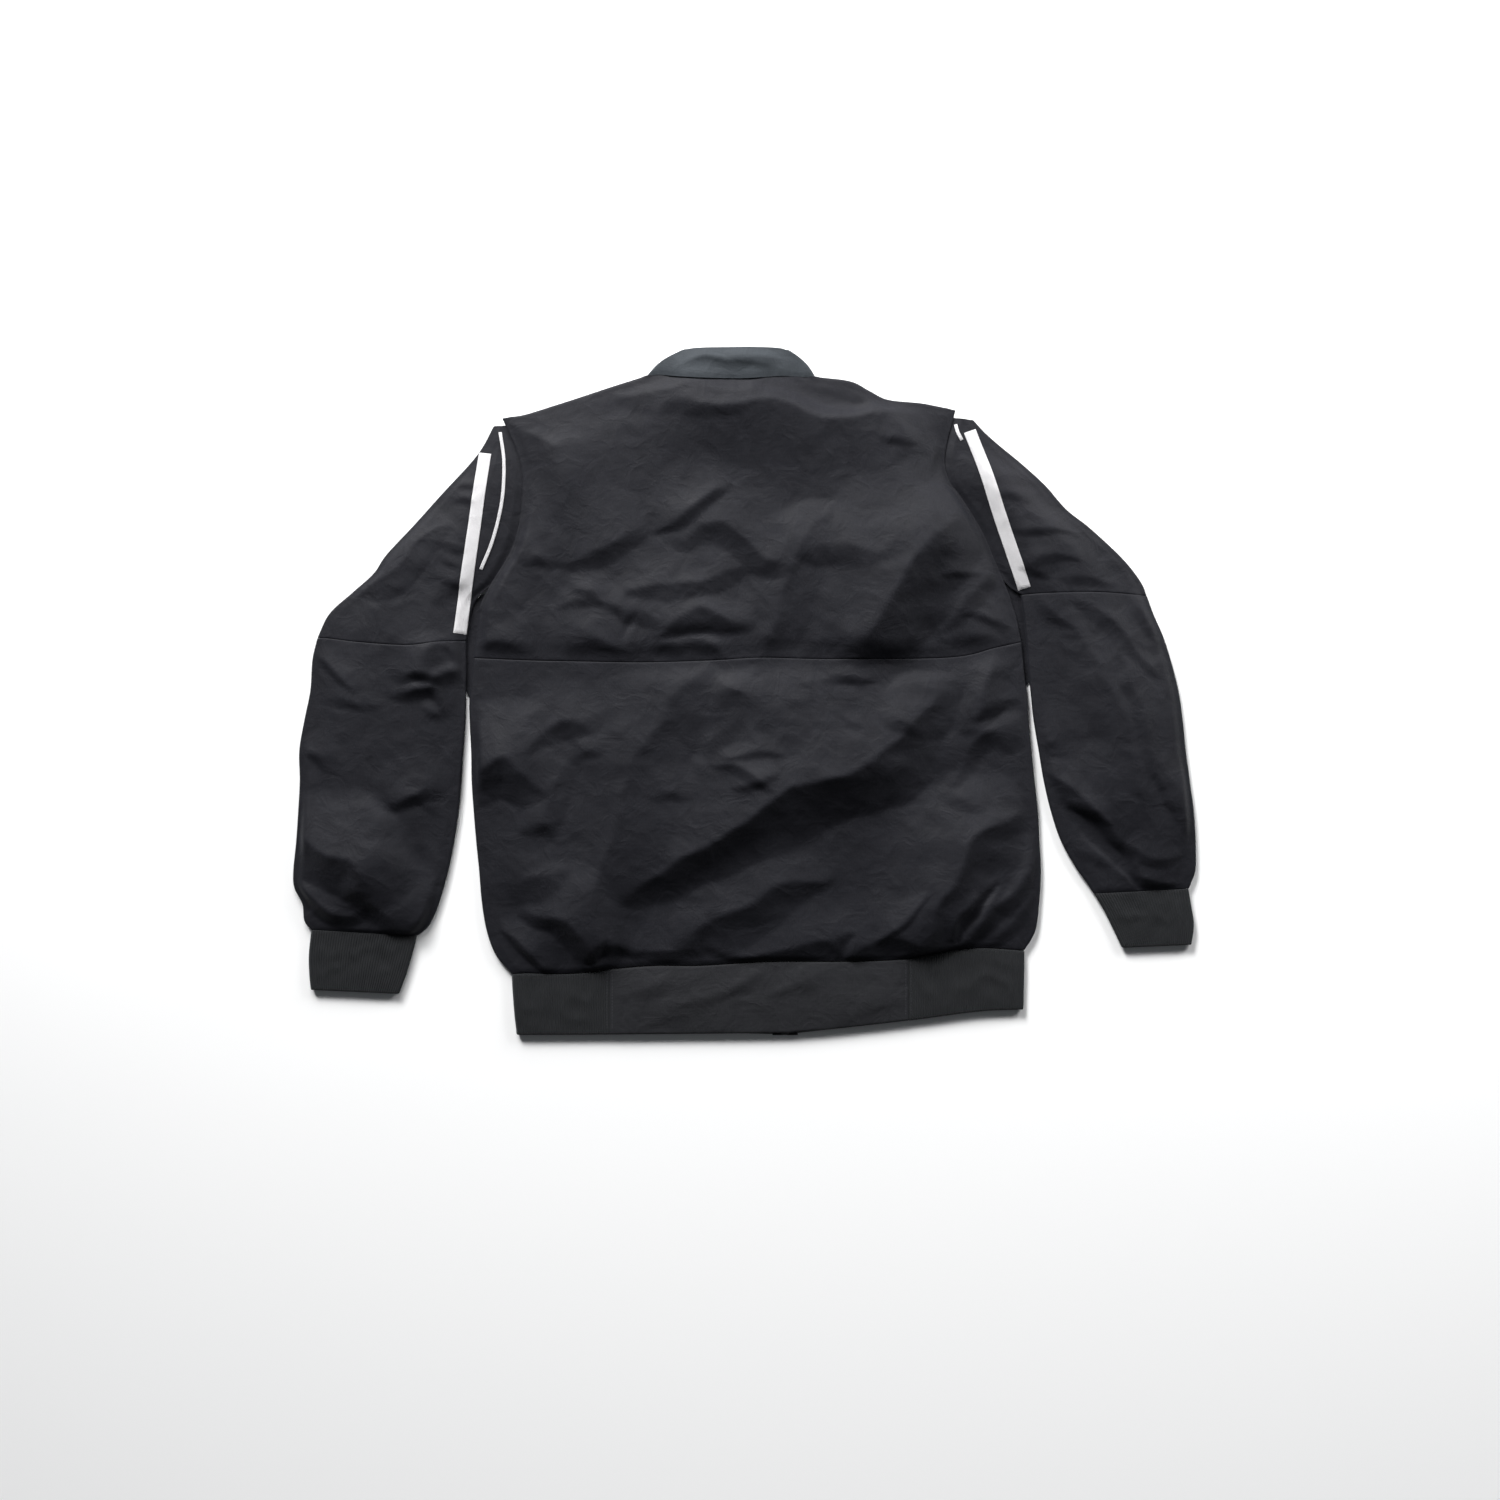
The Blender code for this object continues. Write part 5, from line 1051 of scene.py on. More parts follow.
# Rib knit: in each wale the stitches are small Vs, one over the other
knit, enter, leave = effect(
    "rib_stitches", [("Walk", VECTOR, None), ("Pitch", FLOAT, 0.0024)], [("Height", FLOAT)]
)
walk = node(knit, "ShaderNodeSeparateXYZ", {0: enter.outputs["Walk"]})
wide = calc(knit, "MULTIPLY", enter.outputs["Pitch"], 0.5)
wale = calc(knit, "FRACT", calc(knit, "DIVIDE", walk.outputs[0], wide))
slant = calc(knit, "MULTIPLY", calc(knit, "ABSOLUTE", calc(knit, "SUBTRACT", wale, 0.5)), 1.4)
high = calc(knit, "MULTIPLY", enter.outputs["Pitch"], 0.55)
course = calc(knit, "DIVIDE", walk.outputs[1], high)
stitch = calc(knit, "SINE", calc(knit, "MULTIPLY", calc(knit, "ADD", course, slant), 2 * math.pi))
knit.links.new(stitch, leave.inputs["Height"])


# Matte rib knit: two tones clouded together, with small stitches and fuzz
rib_knit, tree, cloudy = new_material("rib_knit", 0.012)
stitches = use(tree, knit, {"Walk": cloth_walk(tree), "Pitch": RIB_PITCH * MM})["Height"]
finish(
    tree, (0.0128, 0.0134, 0.0146), (0.0184, 0.0193, 0.0208), cloudy["Cloud"],
    [(stitches, 0.6, 0.00025)],
    {
        "Roughness": 0.85, "Specular IOR Level": 0.12, "Sheen Weight": 0.05,
        "Sheen Roughness": 0.5, "Sheen Tint": (0.85, 0.92, 1.0, 1),
    },
)


def rounded(away, thick):
    """Wall thickness at this distance from a folded edge: half an ellipse, then full."""
    t = np.clip(1 - away / thick, 0, 1)
    return thick * np.sqrt(1 - t**2) + 0.02


def ribs_round(grid, pitch):
    """Rib relief on a grid whose columns go round: a cosine of the share walked round."""
    step = np.linalg.norm(np.diff(grid, axis=1), axis=2).mean(axis=0)
    at = np.concatenate([[0], np.cumsum(step)])
    count = round((at[-1] + step.mean()) / pitch)
    return RIB_DEPTH * 0.5 * (np.cos(2 * np.pi * count * at / (at[-1] + step.mean())) - 1)


for side, sections in (("left", CUFF_LEFT), ("right", CUFF_RIGHT)):
    start, end = end_line(sections[0]), end_line(sections[-1])
    tall = reach(sections)
    inner = np.linspace(SEAM_ROLL, tall - RIB, round(tall / RIB_ROW_STEP))
    v = np.concatenate([SEAM_ROWS, inner, tall - RIB * EDGE_ROWS]) / tall
    width = math.hypot(sections[0].bx - sections[0].ax, sections[0].by - sections[0].ay)
    count = round(width / RIB_PITCH) * RIB_SAMPLES

    def lie(x, y, down, near, tall=tall):
        """A half wave that swells less towards the hand, less the roll into the seam."""
        swell = CUFF_SWELL * np.sin(np.pi * np.clip(down, 0, 1)) * ease(near / CUFF_SWELL_FADE)
        swell = swell * (1 + rumple(x, y, CUFF_RUMPLE, seed=3))
        return swell * (1 - 0.5 * down) - roll(down * tall)

    grid = flat_tube(sections, start, end, v, True, 1, RIB, count, count, lie)
    thick = rounded((1 - v[:, None]) * tall, RIB) + np.zeros(grid.shape[:2])
    cuff = wall(f"rib_cuff_{side}", grid, thick, closed=True, relief=ribs_round(grid, RIB_PITCH))
    dress(cuff, rib_knit, [f"cuff_{side}"])

# ==== The collar ====
# One stand collar of doubled shell cloth, pressed flat: its back half lies on top and turns
# under at both ends, and its front halves come down to the zip underneath.

COLLAR_TALL, COLLAR_WALL, COLLAR_SINK = 27.0, 1.6, 0.2
COLLAR_UNDER, COLLAR_DIP = 1.2, 0.6  # how far its lower edge passes under the back, and below it
COLLAR_BLEND = 18.0  # over which the collar comes down from the back's height at the seam
COLLAR_FOLDS = [
    Fold(5.6, 17, 15, [
        (-66, 320, 0.3), (-50, 328, 0.8), (-35, 333, 1), (-12, 333, 1), (4, 329, 0.8),
        (24, 322, 0.8), (46, 316, 0.3),
    ]),
    Fold(3.2, 14, 9, [(-14, 339, 0.3), (4, 334, 1), (26, 330, 0.9), (48, 326, 0.3)]),
    Fold(2.2, 17, 7, [(-92, 322, 0.3), (-78, 324, 1), (-62, 318, 0.5)]),
    Fold(1.6, 13, 6, [(-80, 333, 0.3), (-68, 331, 1), (-56, 333, 0.4)]),
]
COLLAR_TOP = [(-58, 339), (-54, 341.5), (-24, 342.6), (31, 342.8), (44, 340)]
COLLAR_LEFT = [(-58, 339), (-66, 336), (-83, 328), (-97, 314.8)]
COLLAR_RIGHT = [(44, 340), (54, 334), (63, 326), (71, 313.8)]
FRONT_COLLAR_LEFT = [(-58, 339), (-52, 318), (-40, 300), (ZIP_X_TOP - OPENING, 291)]
FRONT_COLLAR_RIGHT = [(ZIP_X_TOP + OPENING, 291), (14, 300), (34, 318), (44, 340)]

spaced = np.linspace(COLLAR_WALL, COLLAR_TALL, 20)
edge_away = np.concatenate([COLLAR_WALL * EDGE_ROWS[::-1], spaced])
v = edge_away / COLLAR_TALL
base = smooth(NECK) - (0, COLLAR_UNDER)
top, left, right = smooth(COLLAR_TOP), smooth(COLLAR_LEFT), smooth(COLLAR_RIGHT)
width = np.linalg.norm(along(right, v) - along(left, v), axis=1)[:, None]
inset = (TURN + COLLAR_WALL / 2) / width
upper = patch(top, base, left, right, inset + (1 - 2 * inset) * np.linspace(0, 1, 72), v)
x, y = upper[..., 0], upper[..., 1]
own = neck(x) * drape(x, y, COLLAR_FOLDS, crumple=0.2)
at_seam = np.interp(x, upper_back[edge_rows, :, 0], upper_back[edge_rows, :, 2])
at_seam = at_seam - CLOTH / 2 - LAYER
from_seam = COLLAR_TALL - edge_away[:, None]
sewn_to = ease(1 - from_seam / COLLAR_BLEND)
dip = COLLAR_SINK + COLLAR_DIP * ease(1 - from_seam / (3 * COLLAR_UNDER))
upper = np.dstack([upper, COLLAR_WALL / 2 + LAYER - dip + own + sewn_to * (at_seam - own)])
halves = []
for high, low, sign in (
    (smooth(FRONT_COLLAR_LEFT), smooth(FRONT_NECK_LEFT), -1),
    (smooth(FRONT_COLLAR_RIGHT), smooth(FRONT_NECK_RIGHT), 1),
):
    near = (TURN + COLLAR_WALL / 2) / walked(low)[-1]
    shares = np.linspace(near, 1, 30)
    if sign < 0:
        sides = left, centre_line(high[-1, 1], low[-1, 1], sign)
    else:
        sides = centre_line(high[0, 1], low[0, 1], sign), right
        shares = 1 - shares[::-1]
    flat = patch(high, low, *sides, shares[None, :], v)
    height = COLLAR_WALL / 2 + front_lift(flat[..., 0], flat[..., 1])
    halves.append(np.dstack([flat, height])[:, ::-1])
left_turn = half_round(halves[0][:, -1], upper[:, 0], -1)
right_turn = half_round(upper[:, -1], halves[1][:, 0], 1)
grid = np.concatenate([halves[0], left_turn, upper, right_turn, halves[1]], axis=1)
thick = rounded(edge_away[:, None], COLLAR_WALL) + np.zeros(grid.shape[:2])
# Painted light: the collar is the same shell cloth, given lighter, bluer tones that stand in for
# the light falling on it from past the top, not a colour of its own.
collar_cloth = shell_finish(
    "collar_cloth", (0.022, 0.0258, 0.0302), (0.0328, 0.038, 0.0438), 0.7
)
collar = dress(wall("stand_collar", grid, thick, square=(-1,)), collar_cloth, ["collar"])

# ==== The hem band ====
# A wide band that draws the hem in. Its middle, in the back and the fronts, is doubled shell
# cloth; its sides are rib knit that wraps round from back to front.

HEM_TALL, HEM_WALL, HEM_GAP = 66.0, 2.0, 0.7
RIB_LEFT_X, RIB_RIGHT_X = -134.0, 164.0
FRONT_DROP, FRONT_DROP_FADE = 1.6, 60.0  # the front of the band hangs lower by the zip
HEM_FOLD_SHARE, HEM_END_FADE = 0.8, 8.0
HEM_SIDE_ROLL = 0.5  # how much of a seam's roll the middle has at its sides
RIB_SWELL, RIB_SWELL_FADE, RIB_RUMPLE = 0.8, 25, 40  # its height, its seam end and its waves
SEAM_SEW = 2.6  # from a rib side's seam to the stitches beside it
HEM_EDGE = [
    (-227, -342), (-134, -341.5), (25, -340), (58, -338.5), (94, -335.5), (173, -326.5),
    (235, -318.5), (279, -316.5),
]
HEM_FOLDS = [
    Fold(3.2, 29, 15, [(-120, -303, 0.3), (-100, -294, 0.8), (-80, -284, 1), (-61, -275, 0.4)]),
    Fold(2.4, 18, 13, [(-67, -295, 0.3), (-55, -286, 1), (-39, -283, 0.5)]),
    Fold(2.4, 24, 17, [(-102, -331, 0.3), (-70, -318, 1), (-45, -308, 0.8), (-24, -298, 0.3)]),
    Fold(3, 26, 11, [(-26, -305, 0.3), (-8, -290, 0.9), (8, -278, 1), (21, -270, 0.5)]),
    Fold(3, 26, 15, [(28, -301, 0.3), (55, -290, 0.9), (72, -280, 1), (81, -270, 0.4)]),
    Fold(1.9, 14, 7, [(52, -284, 0.4), (61, -276, 1), (70, -272, 0.4)]),
    Fold(2.7, 36, 15, [(78, -338, 0.3), (105, -325, 0.9), (135, -312, 0.8), (162, -302, 0.3)]),
    Fold(-2.4, 15, 17, [(-220, -290, 0.5), (-180, -293, 1), (-140, -290, 0.5)]),
]
HEM_CRUMPLES = crumples(5, 50, (-130, -335, 160, -272), 0.5)
hem_top, hem_edge = smooth(HEM_SEAM) - (0, HEM_GAP), smooth(HEM_EDGE)


def hem_part(x0, x1):
    """The stretch of the band's top line and of its lower edge between two X places."""
    x = np.linspace(x0, x1, 80)
    return [
        np.stack([x, np.interp(x, line[:, 0], line[:, 1])], axis=1) for line in (hem_top, hem_edge)
    ]


def band_rows(step):
    """Row shares from the band's seam to its folded edge, and their distances from that edge."""
    inner = np.linspace(SEAM_ROLL, HEM_TALL - HEM_WALL, round(HEM_TALL / step))
    at = np.concatenate([[0], SEAM_ROWS[1:], inner, HEM_TALL - HEM_WALL * EDGE_ROWS])
    return at / HEM_TALL, HEM_TALL - at


def band_wall(name, grid, away, **more):
    """A wall of the band, rounded off at its folded edge."""
    thick = rounded(away[:, None], HEM_WALL) + np.zeros(grid.shape[:2])
    return wall(name, grid, thick, **more)


band_cloth = shell_finish("band_cloth", (0.0118, 0.012, 0.0141), (0.0178, 0.0182, 0.0208), 0.7)
gap = SEAM / 2
v, away = band_rows(STEP)
left_x, right_x = RIB_LEFT_X + gap, RIB_RIGHT_X - gap
high, low = hem_part(left_x, right_x)
ends = [np.array([high[k], low[k]]) for k in (0, -1)]
flat = patch(high, low, *ends, np.linspace(0, 1, round((right_x - left_x) / STEP))[None, :], v)
x, y = flat[..., 0], flat[..., 1]
fade = ease((x - left_x) / HEM_END_FADE) * ease((right_x - x) / HEM_END_FADE)
folds = drape(x, y, HEM_FOLDS + HEM_CRUMPLES, crumple=0.2)
folds = fade * np.sin(np.pi * v)[:, None] * folds * HEM_FOLD_SHARE
sides_in = HEM_SIDE_ROLL * (roll(x - left_x) + roll(right_x - x))
height = HEM_WALL / 2 + LAYER + folds - roll(v * HEM_TALL)[:, None] - sides_in
hem_grids = {"middle": np.dstack([flat, height])}
band = band_wall("hem_band_middle", hem_grids["middle"], away)
dress(band, band_cloth, ["hem_band_back"])

inset = TURN + HEM_WALL / 2
for side, sign, inner in (("left", -1, RIB_LEFT_X - gap), ("right", 1, RIB_RIGHT_X + gap)):
    end = 0 if sign < 0 else -1
    tops = []
    for line in (hem_top, hem_edge):
        x = np.linspace(*sorted((inner, line[end, 0] - sign * inset)), 60)
        tops.append(np.stack([x, np.interp(x, line[:, 0], line[:, 1])], axis=1))
    ends = [np.array([line[k] for line in tops]) for k in (0, -1)]
    v, away = band_rows(RIB_ROW_STEP)
    count = round(abs(ends[1][0, 0] - ends[0][0, 0]) / RIB_PITCH) * RIB_SAMPLES
    flat = patch(*tops, *ends, np.linspace(0, 1, count)[None, :], v)
    x, y = flat[..., 0], flat[..., 1]
    swell = RIB_SWELL * np.sin(np.pi * v)[:, None] * ease(np.abs(x - inner) / RIB_SWELL_FADE)
    swell = swell * (1 + rumple(x, y, RIB_RUMPLE, seed=5))
    over = np.dstack([flat, HEM_WALL / 2 + LAYER + swell - roll(v * HEM_TALL)[:, None]])
    hem_grids[side] = over
    under = np.dstack([flat, np.full(flat.shape[:2], HEM_WALL / 2)])[:, ::-1]
    grid = wrapped(over, under, sign)
    rib = band_wall(f"hem_rib_knit_{side}", grid, away, relief=ribs_round(grid, RIB_PITCH))
    dress(rib, rib_knit, [f"hem_rib_{side}"])

    high, low = hem_part(left_x, right_x)
    centre = centre_line(np.interp(ZIP_X_HEM, high[:, 0], high[:, 1]), ZIP_END + 0.2, sign)
    place = zip_x(ZIP_END) + sign * OPENING
    keep = sign * high[:, 0] > sign * place + EDGE_FLAT
    drop = FRONT_DROP * ease(1 - np.abs(low[keep][:, 0] - place) / FRONT_DROP_FADE)
    base, high = low[keep] - np.stack([0 * drop, drop], axis=1), high[keep]
    if sign < 0:
        high, base = np.vstack([high, centre[:1]]), np.vstack([base, centre[-1:]])
        sides = np.array([high[0], base[0]]), centre
    else:
        high, base = np.vstack([centre[:1], high]), np.vstack([centre[-1:], base])
        sides = centre, np.array([high[-1], base[-1]])
    v, away = band_rows(FRONT_STEP)
    flat = patch(high, base, *sides, np.linspace(0, 1, 30)[None, :], v)
    grid = np.dstack([flat, np.full(flat.shape[:2], HEM_WALL / 2)])
    under = band_wall(f"hem_band_under_{side}", grid, away)
    dress(under, band_cloth, [f"hem_band_front_{side}"])

# ==== The tapes and piping ====
# Each sleeve has a wide woven tape down its top and a thin piping nearer the armhole. They are
# sewn flat on the cloth: the tape with a row of stitches along both edges, the piping with one.

TAPE, TAPE_GAP, TAPE_STEP = 0.8, 0.3, 2.0
TAPE_WIDE, PIPING_WIDE = 12.5, 3.2
SEW_IN, SEW_PULL = 1.36, 0.3  # a row's distance from the edge, and how far it pulls the tape in
TAPE_STITCH, HEM_STITCH = 2.6, 2.9  # from stitch to stitch
TAPE_STITCH_SINK, HEM_STITCH_SINK = 0.08, 0.05  # how far the stitches sink into the cloth
THREAD = 0.22  # half the thickness of a stitch
TAPE_LEFT = [(-258, 238), (-264, 196), (-270, 152), (-277, 104), (-283, 58)]
TAPE_RIGHT = [(225, 260), (239, 222), (254, 176), (268, 136), (279.5, 103)]
PIPING_LEFT = [(-243, 259), (-239, 228), (-241, 190), (-250, 152), (-262, 122)]
PIPING_RIGHT = [(211, 267), (213, 259), (217, 251)]


def cloth_height(cloth, plan, margin=8.0):
    """The height of a laid cloth's upper layer at plan points: the mean of its points' heights,
    each weighted by one over the fourth power of its distance."""
    points = cloth[cloth[..., 2] > LAYER / 2]
    low, high = plan.min(axis=(0, 1)) - margin, plan.max(axis=(0, 1)) + margin
    points = points[((points[:, :2] > low) & (points[:, :2] < high)).all(axis=1)]
    apart = ((plan[..., None, :] - points[:, :2]) ** 2).sum(axis=-1) + 0.2
    return (points[:, 2] / apart**2).sum(axis=-1) / (1 / apart**2).sum(axis=-1)


def circle(count):
    """Points on a circle of radius 1."""
    turn = np.arange(count) * 2 * math.pi / count
    return np.stack([np.cos(turn), np.sin(turn)], axis=1)


def slab(outline, levels):
    """A small closed solid: a plan outline repeated at each level's height, scaled to that
    level's share, with both ends capped. Gives its points and faces."""
    outline = np.asarray(outline, float)
    count = len(outline)
    points = np.concatenate([
        np.column_stack([outline * share, np.full(count, high)]) for high, share in levels
    ])
    ring = np.arange(count)
    after = np.roll(ring, -1)
    faces = [
        np.stack([ring, after, after + count, ring + count], axis=1) + k * count
        for k in range(len(levels) - 1)
    ]
    caps = [ring[::-1].tolist(), (ring + (len(levels) - 1) * count).tolist()]
    return points, np.concatenate(faces).tolist() + caps


def strung(shape, path, pitch, start=0.5, turned=1, sink=0.0):
    """Copies of a small solid along a path, a pitch apart. Its Y runs along the path and its Z
    stands up; turned = -1 turns it half round. Gives all points and faces."""
    points, faces = shape
    run = walked(path)
    at = np.arange(start * pitch, run[-1], pitch)
    middle = along(path, at / run[-1])
    before, after = (along(path, np.clip((at + k) / run[-1], 0, 1)) for k in (-0.5, 0.5))
    ahead = after - before
    ahead /= np.linalg.norm(ahead, axis=1)[:, None] * turned
    aside = np.cross(ahead, [0, 0, 1])
    aside /= np.linalg.norm(aside, axis=1)[:, None]
    up = np.cross(aside, ahead)
    frame_of = np.stack([aside, ahead, up], axis=1)
    placed = middle[:, None] + points @ frame_of - np.array([0, 0, sink])
    shifted = [
        [corner + k * len(points) for corner in face] for k in range(len(at)) for face in faces
    ]
    return placed.reshape(-1, 3), shifted


def merged(parts):
    """One set of points and faces out of several."""
    points, faces, shift = [], [], 0
    for some, there in parts:
        points.append(some)
        faces += [[corner + shift for corner in face] for face in there]
        shift += len(some)
    return np.concatenate(points), faces


# One stitch of thread: a six-sided bar, thinner at its ends, that lies along the seam
bar, bar_faces = slab(circle(6) * THREAD, [(-1.0, 0.45), (-0.6, 1), (0.6, 1), (1.0, 0.45)])
STITCH = bar[:, [1, 2, 0]], bar_faces


def tape_finish(name, dark, light, pitch):
    """Woven tape: two tones clouded and streaked together, with visible threads."""
    made, tree, cloudy = new_material(name, 0.009)
    woven = use(tree, weave, {"Walk": cloth_walk(tree), "Pitch": pitch})["Height"]
    cloud = calc(tree, "MULTIPLY", cloudy["Cloud"], 0.6)
    shade = calc(tree, "MULTIPLY_ADD", woven, 0.5, cloud)
    finish(tree, dark, light, shade, [(woven, 0.7, 0.0002)], {
        "Roughness": 0.8, "Specular IOR Level": 0.2, "Sheen Weight": 0.05,
    })
    return made


def thread_finish(name, dark, light):
    """Sewing thread: two tones clouded together."""
    made, tree, cloudy = new_material(name, 0.004)
    finish(tree, dark, light, cloudy["Cloud"], [], {"Roughness": 0.6, "Specular IOR Level": 0.25})
    return made


white_tape = tape_finish("white_tape", (0.42, 0.412, 0.42), (0.58, 0.572, 0.582), 0.0007)
white_thread = thread_finish("white_thread", (0.5, 0.495, 0.51), (0.64, 0.635, 0.65))
dark_thread = thread_finish("dark_thread", (0.03, 0.032, 0.036), (0.06, 0.063, 0.07))

for side, tape, piping in (("left", TAPE_LEFT, PIPING_LEFT), ("right", TAPE_RIGHT, PIPING_RIGHT)):
    rows_of_stitches = []
    for kind, line, wide, columns, sewn_columns in (
        ("tape", tape, TAPE_WIDE, 15, (3, -4)), ("piping", piping, PIPING_WIDE, 9, (4,)),
    ):
        path = smooth(line)
        long = walked(path)[-1]
        share = np.linspace(0, 1, round(long / TAPE_STEP))
        across = wide / 2 * (1 - np.cos(np.linspace(0, math.pi, columns)))
        plan = np.stack([along(offset(path, wide / 2 - at), share) for at in across], axis=1)
        away = np.minimum(across, wide - across)
        ends = np.minimum(share, 1 - share)[:, None] * long
        thick = rounded(np.minimum(away, ends), TAPE)
        thick = thick * (1 - SEW_PULL * np.exp(-(((away - min(SEW_IN, wide / 2)) / 0.5) ** 2)))
        height = cloth_height(sleeve_tops[side], plan) + CLOTH / 2 + TAPE_GAP
        grid = np.dstack([plan, height + thick / 2])
        seam_tops = np.dstack([plan, height + thick])
        if plan[0, 0, 0] > plan[0, -1, 0]:
            grid, thick = grid[:, ::-1], thick[:, ::-1]
        strip = dress(
            wall(f"sleeve_{kind}_woven_{side}", grid, thick, square=()), white_tape,
            [f"sleeve_{kind}_{side}"],
        )
        rows_of_stitches += [
            strung(STITCH, seam_tops[:, k], TAPE_STITCH, sink=TAPE_STITCH_SINK)
            for k in sewn_columns
        ]
    dress(put_mesh(f"tape_stitches_{side}", *merged(rows_of_stitches)), white_thread)

# Two rows of stitches hold each rib side of the hem to the middle, one on each side of the seam
rib_rows = []
for edge, grids in ((RIB_LEFT_X, ("left", "middle")), (RIB_RIGHT_X, ("middle", "right"))):
    for shift, part in zip((-SEAM_SEW, SEAM_SEW), grids):
        share = np.linspace(0.06, 0.9, 40)
        at = edge + shift
        high, low = (np.interp(at, line[:, 0], line[:, 1]) for line in (hem_top, hem_edge))
        plan = np.stack([np.full(40, at), high + (low - high) * share], axis=1)[:, None]
        height = cloth_height(hem_grids[part], plan) + HEM_WALL / 2
        row = np.dstack([plan, height])[:, 0]
        rib_rows.append(strung(STITCH, row, HEM_STITCH, sink=HEM_STITCH_SINK))
dress(put_mesh("hem_seam_stitches", *merged(rib_rows)), dark_thread)

# ==== The zip ====
# A long zip sewn inside the fronts: two woven half tapes, moulded teeth that grip their edges
# and lock together, a box at the hem, and an enamelled slider at the top with its pull tab.

CHAIN_HEIGHT = 2.7  # middle of the chain over the surface, where nothing lifts it
TOOTH_PITCH = 2.9
STRIP_IN, STRIP_OUT = 1.9, 12.5  # a half tape's edges from the centre line
TOOTH = [
    (2.5, -0.5), (2.5, 0.5), (0.7, 0.5), (0.15, 0.62), (-0.55, 0.56), (-0.75, 0.0), (-0.55, -0.56),
    (0.15, -0.62), (0.7, -0.5),
]
TOOTH_LEVELS = [(-1.2, 0.8), (-0.85, 1.0), (0.85, 1.0), (1.2, 0.8)]

y = np.linspace(ZIP_TOP, ZIP_END + 0.2, 212)
middle = zip_x(y)
zip_tape = tape_finish("zip_tape", (0.006, 0.006, 0.0065), (0.022, 0.022, 0.024), 0.0009)
for side, sign in (("left", -1), ("right", 1)):
    across = np.linspace(STRIP_IN, STRIP_OUT, 8)
    across = sign * (across if sign > 0 else across[::-1])
    x, long = middle[:, None] + across, y[:, None] + 0 * across
    grid = np.dstack([x, long, CHAIN_HEIGHT + front_lift(x, long)])
    half = dress(
        wall(f"zip_half_tape_{side}", grid, TAPE), zip_tape, [f"zip_tape_{side}"]
    )

path = np.stack([middle, y, CHAIN_HEIGHT + front_lift(middle, y)], axis=1)
teeth = [
    strung(slab(TOOTH, TOOTH_LEVELS), path, TOOTH_PITCH, start, turned)
    for start, turned in ((0.3, 1), (0.8, -1))
]


def superellipse(wide, long, count=28, power=0.5):
    """A rounded rectangle: sine and cosine, each raised to a power that squares the corners."""
    wave = circle(count)
    return np.sign(wave) * np.abs(wave) ** power * (wide / 2, long / 2)


BOX_WIDE, BOX_LONG = 7.4, 9.0
box_levels = [(-1.45, 0.86), (-1.1, 1.0), (1.1, 1.0), (1.45, 0.86)]
box_points, box_faces = slab(superellipse(BOX_WIDE, BOX_LONG, power=0.35), box_levels)
box_place = np.array([zip_x(ZIP_END), ZIP_END + 0.4 + BOX_LONG / 2, CHAIN_HEIGHT])


def plastic_finish(name, dark, light, roughness):
    """Moulded plastic or enamel: two tones clouded together, and a faintly uneven skin."""
    made, tree, cloudy = new_material(name, 0.003)
    rough = calc(tree, "MULTIPLY_ADD", cloudy["Cloud"], 0.2, roughness - 0.1)
    bumps = [(cloudy["Height"], 0.4, 0.00008)]
    finish(tree, dark, light, cloudy["Cloud"], bumps, {"Roughness": rough})
    return made


chain_plastic = plastic_finish("chain_plastic", (0.012, 0.012, 0.013), (0.028, 0.028, 0.03), 0.45)
enamel = plastic_finish("dark_enamel", (0.06, 0.06, 0.064), (0.1, 0.1, 0.106), 0.35)
chain = put_mesh("zip_teeth", *merged(teeth + [(box_points + box_place, box_faces)]))
dress(chain, chain_plastic, ["zip_chain"])

# Slider: two plates held apart by a post, and a bridge of two ears and a pin on its outside.
# Each slab is listed by the heights of its levels and the share of its outline there.
SLIDER_LONG, SLIDER_WIDE, SLIDER_NARROW, SLIDER_THICK = 9.0, 8.0, 5.6, 4.8
PLATE = 1.2
PIN_DROP, PIN_RADIUS = 2.2, 0.6
EAR_THICK, EAR_APART, EAR_LONG = 1.0, 3.6, 3.2
KNUCKLE_SIDE = np.array([-1.4, -1.2, 1.2, 1.4, 1.4, 1.2, -1.2, -1.4])  # places along the pin
KNUCKLE_RADIUS = np.array([1.35, 1.5, 1.5, 1.35, 1.1, 0.95, 0.95, 1.1])  # and the radii there
TAB_LONG, TAB_WIDE, TAB_START = 18.8, 6.0, 2.6
TAB_NEAR = 1.3  # how close the plate comes to the pin
TAB_HOLE_WIDE, TAB_HOLE_LONG, TAB_HOLE_AT = 2.6, 8.0, -15.6
SLIDER_PLACE = np.array([ZIP_X_TOP, ZIP_TOP + 5.0, CHAIN_HEIGHT + LIFT])
PIN_PLACE = SLIDER_PLACE - (0, 0, SLIDER_THICK / 2 + PIN_DROP)


def torus(sections):
    """A ring-like solid from points on a grid that closes in both directions."""
    rows, columns = sections.shape[:2]
    index = np.arange(rows * columns).reshape(rows, columns)
    below, beside = np.roll(index, -1, axis=0), np.roll(index, -1, axis=1)
    corner = np.roll(below, -1, axis=1)
    faces = np.stack([index, below, corner, beside], axis=-1).reshape(-1, 4)
    return sections.reshape(-1, 3), faces.tolist()


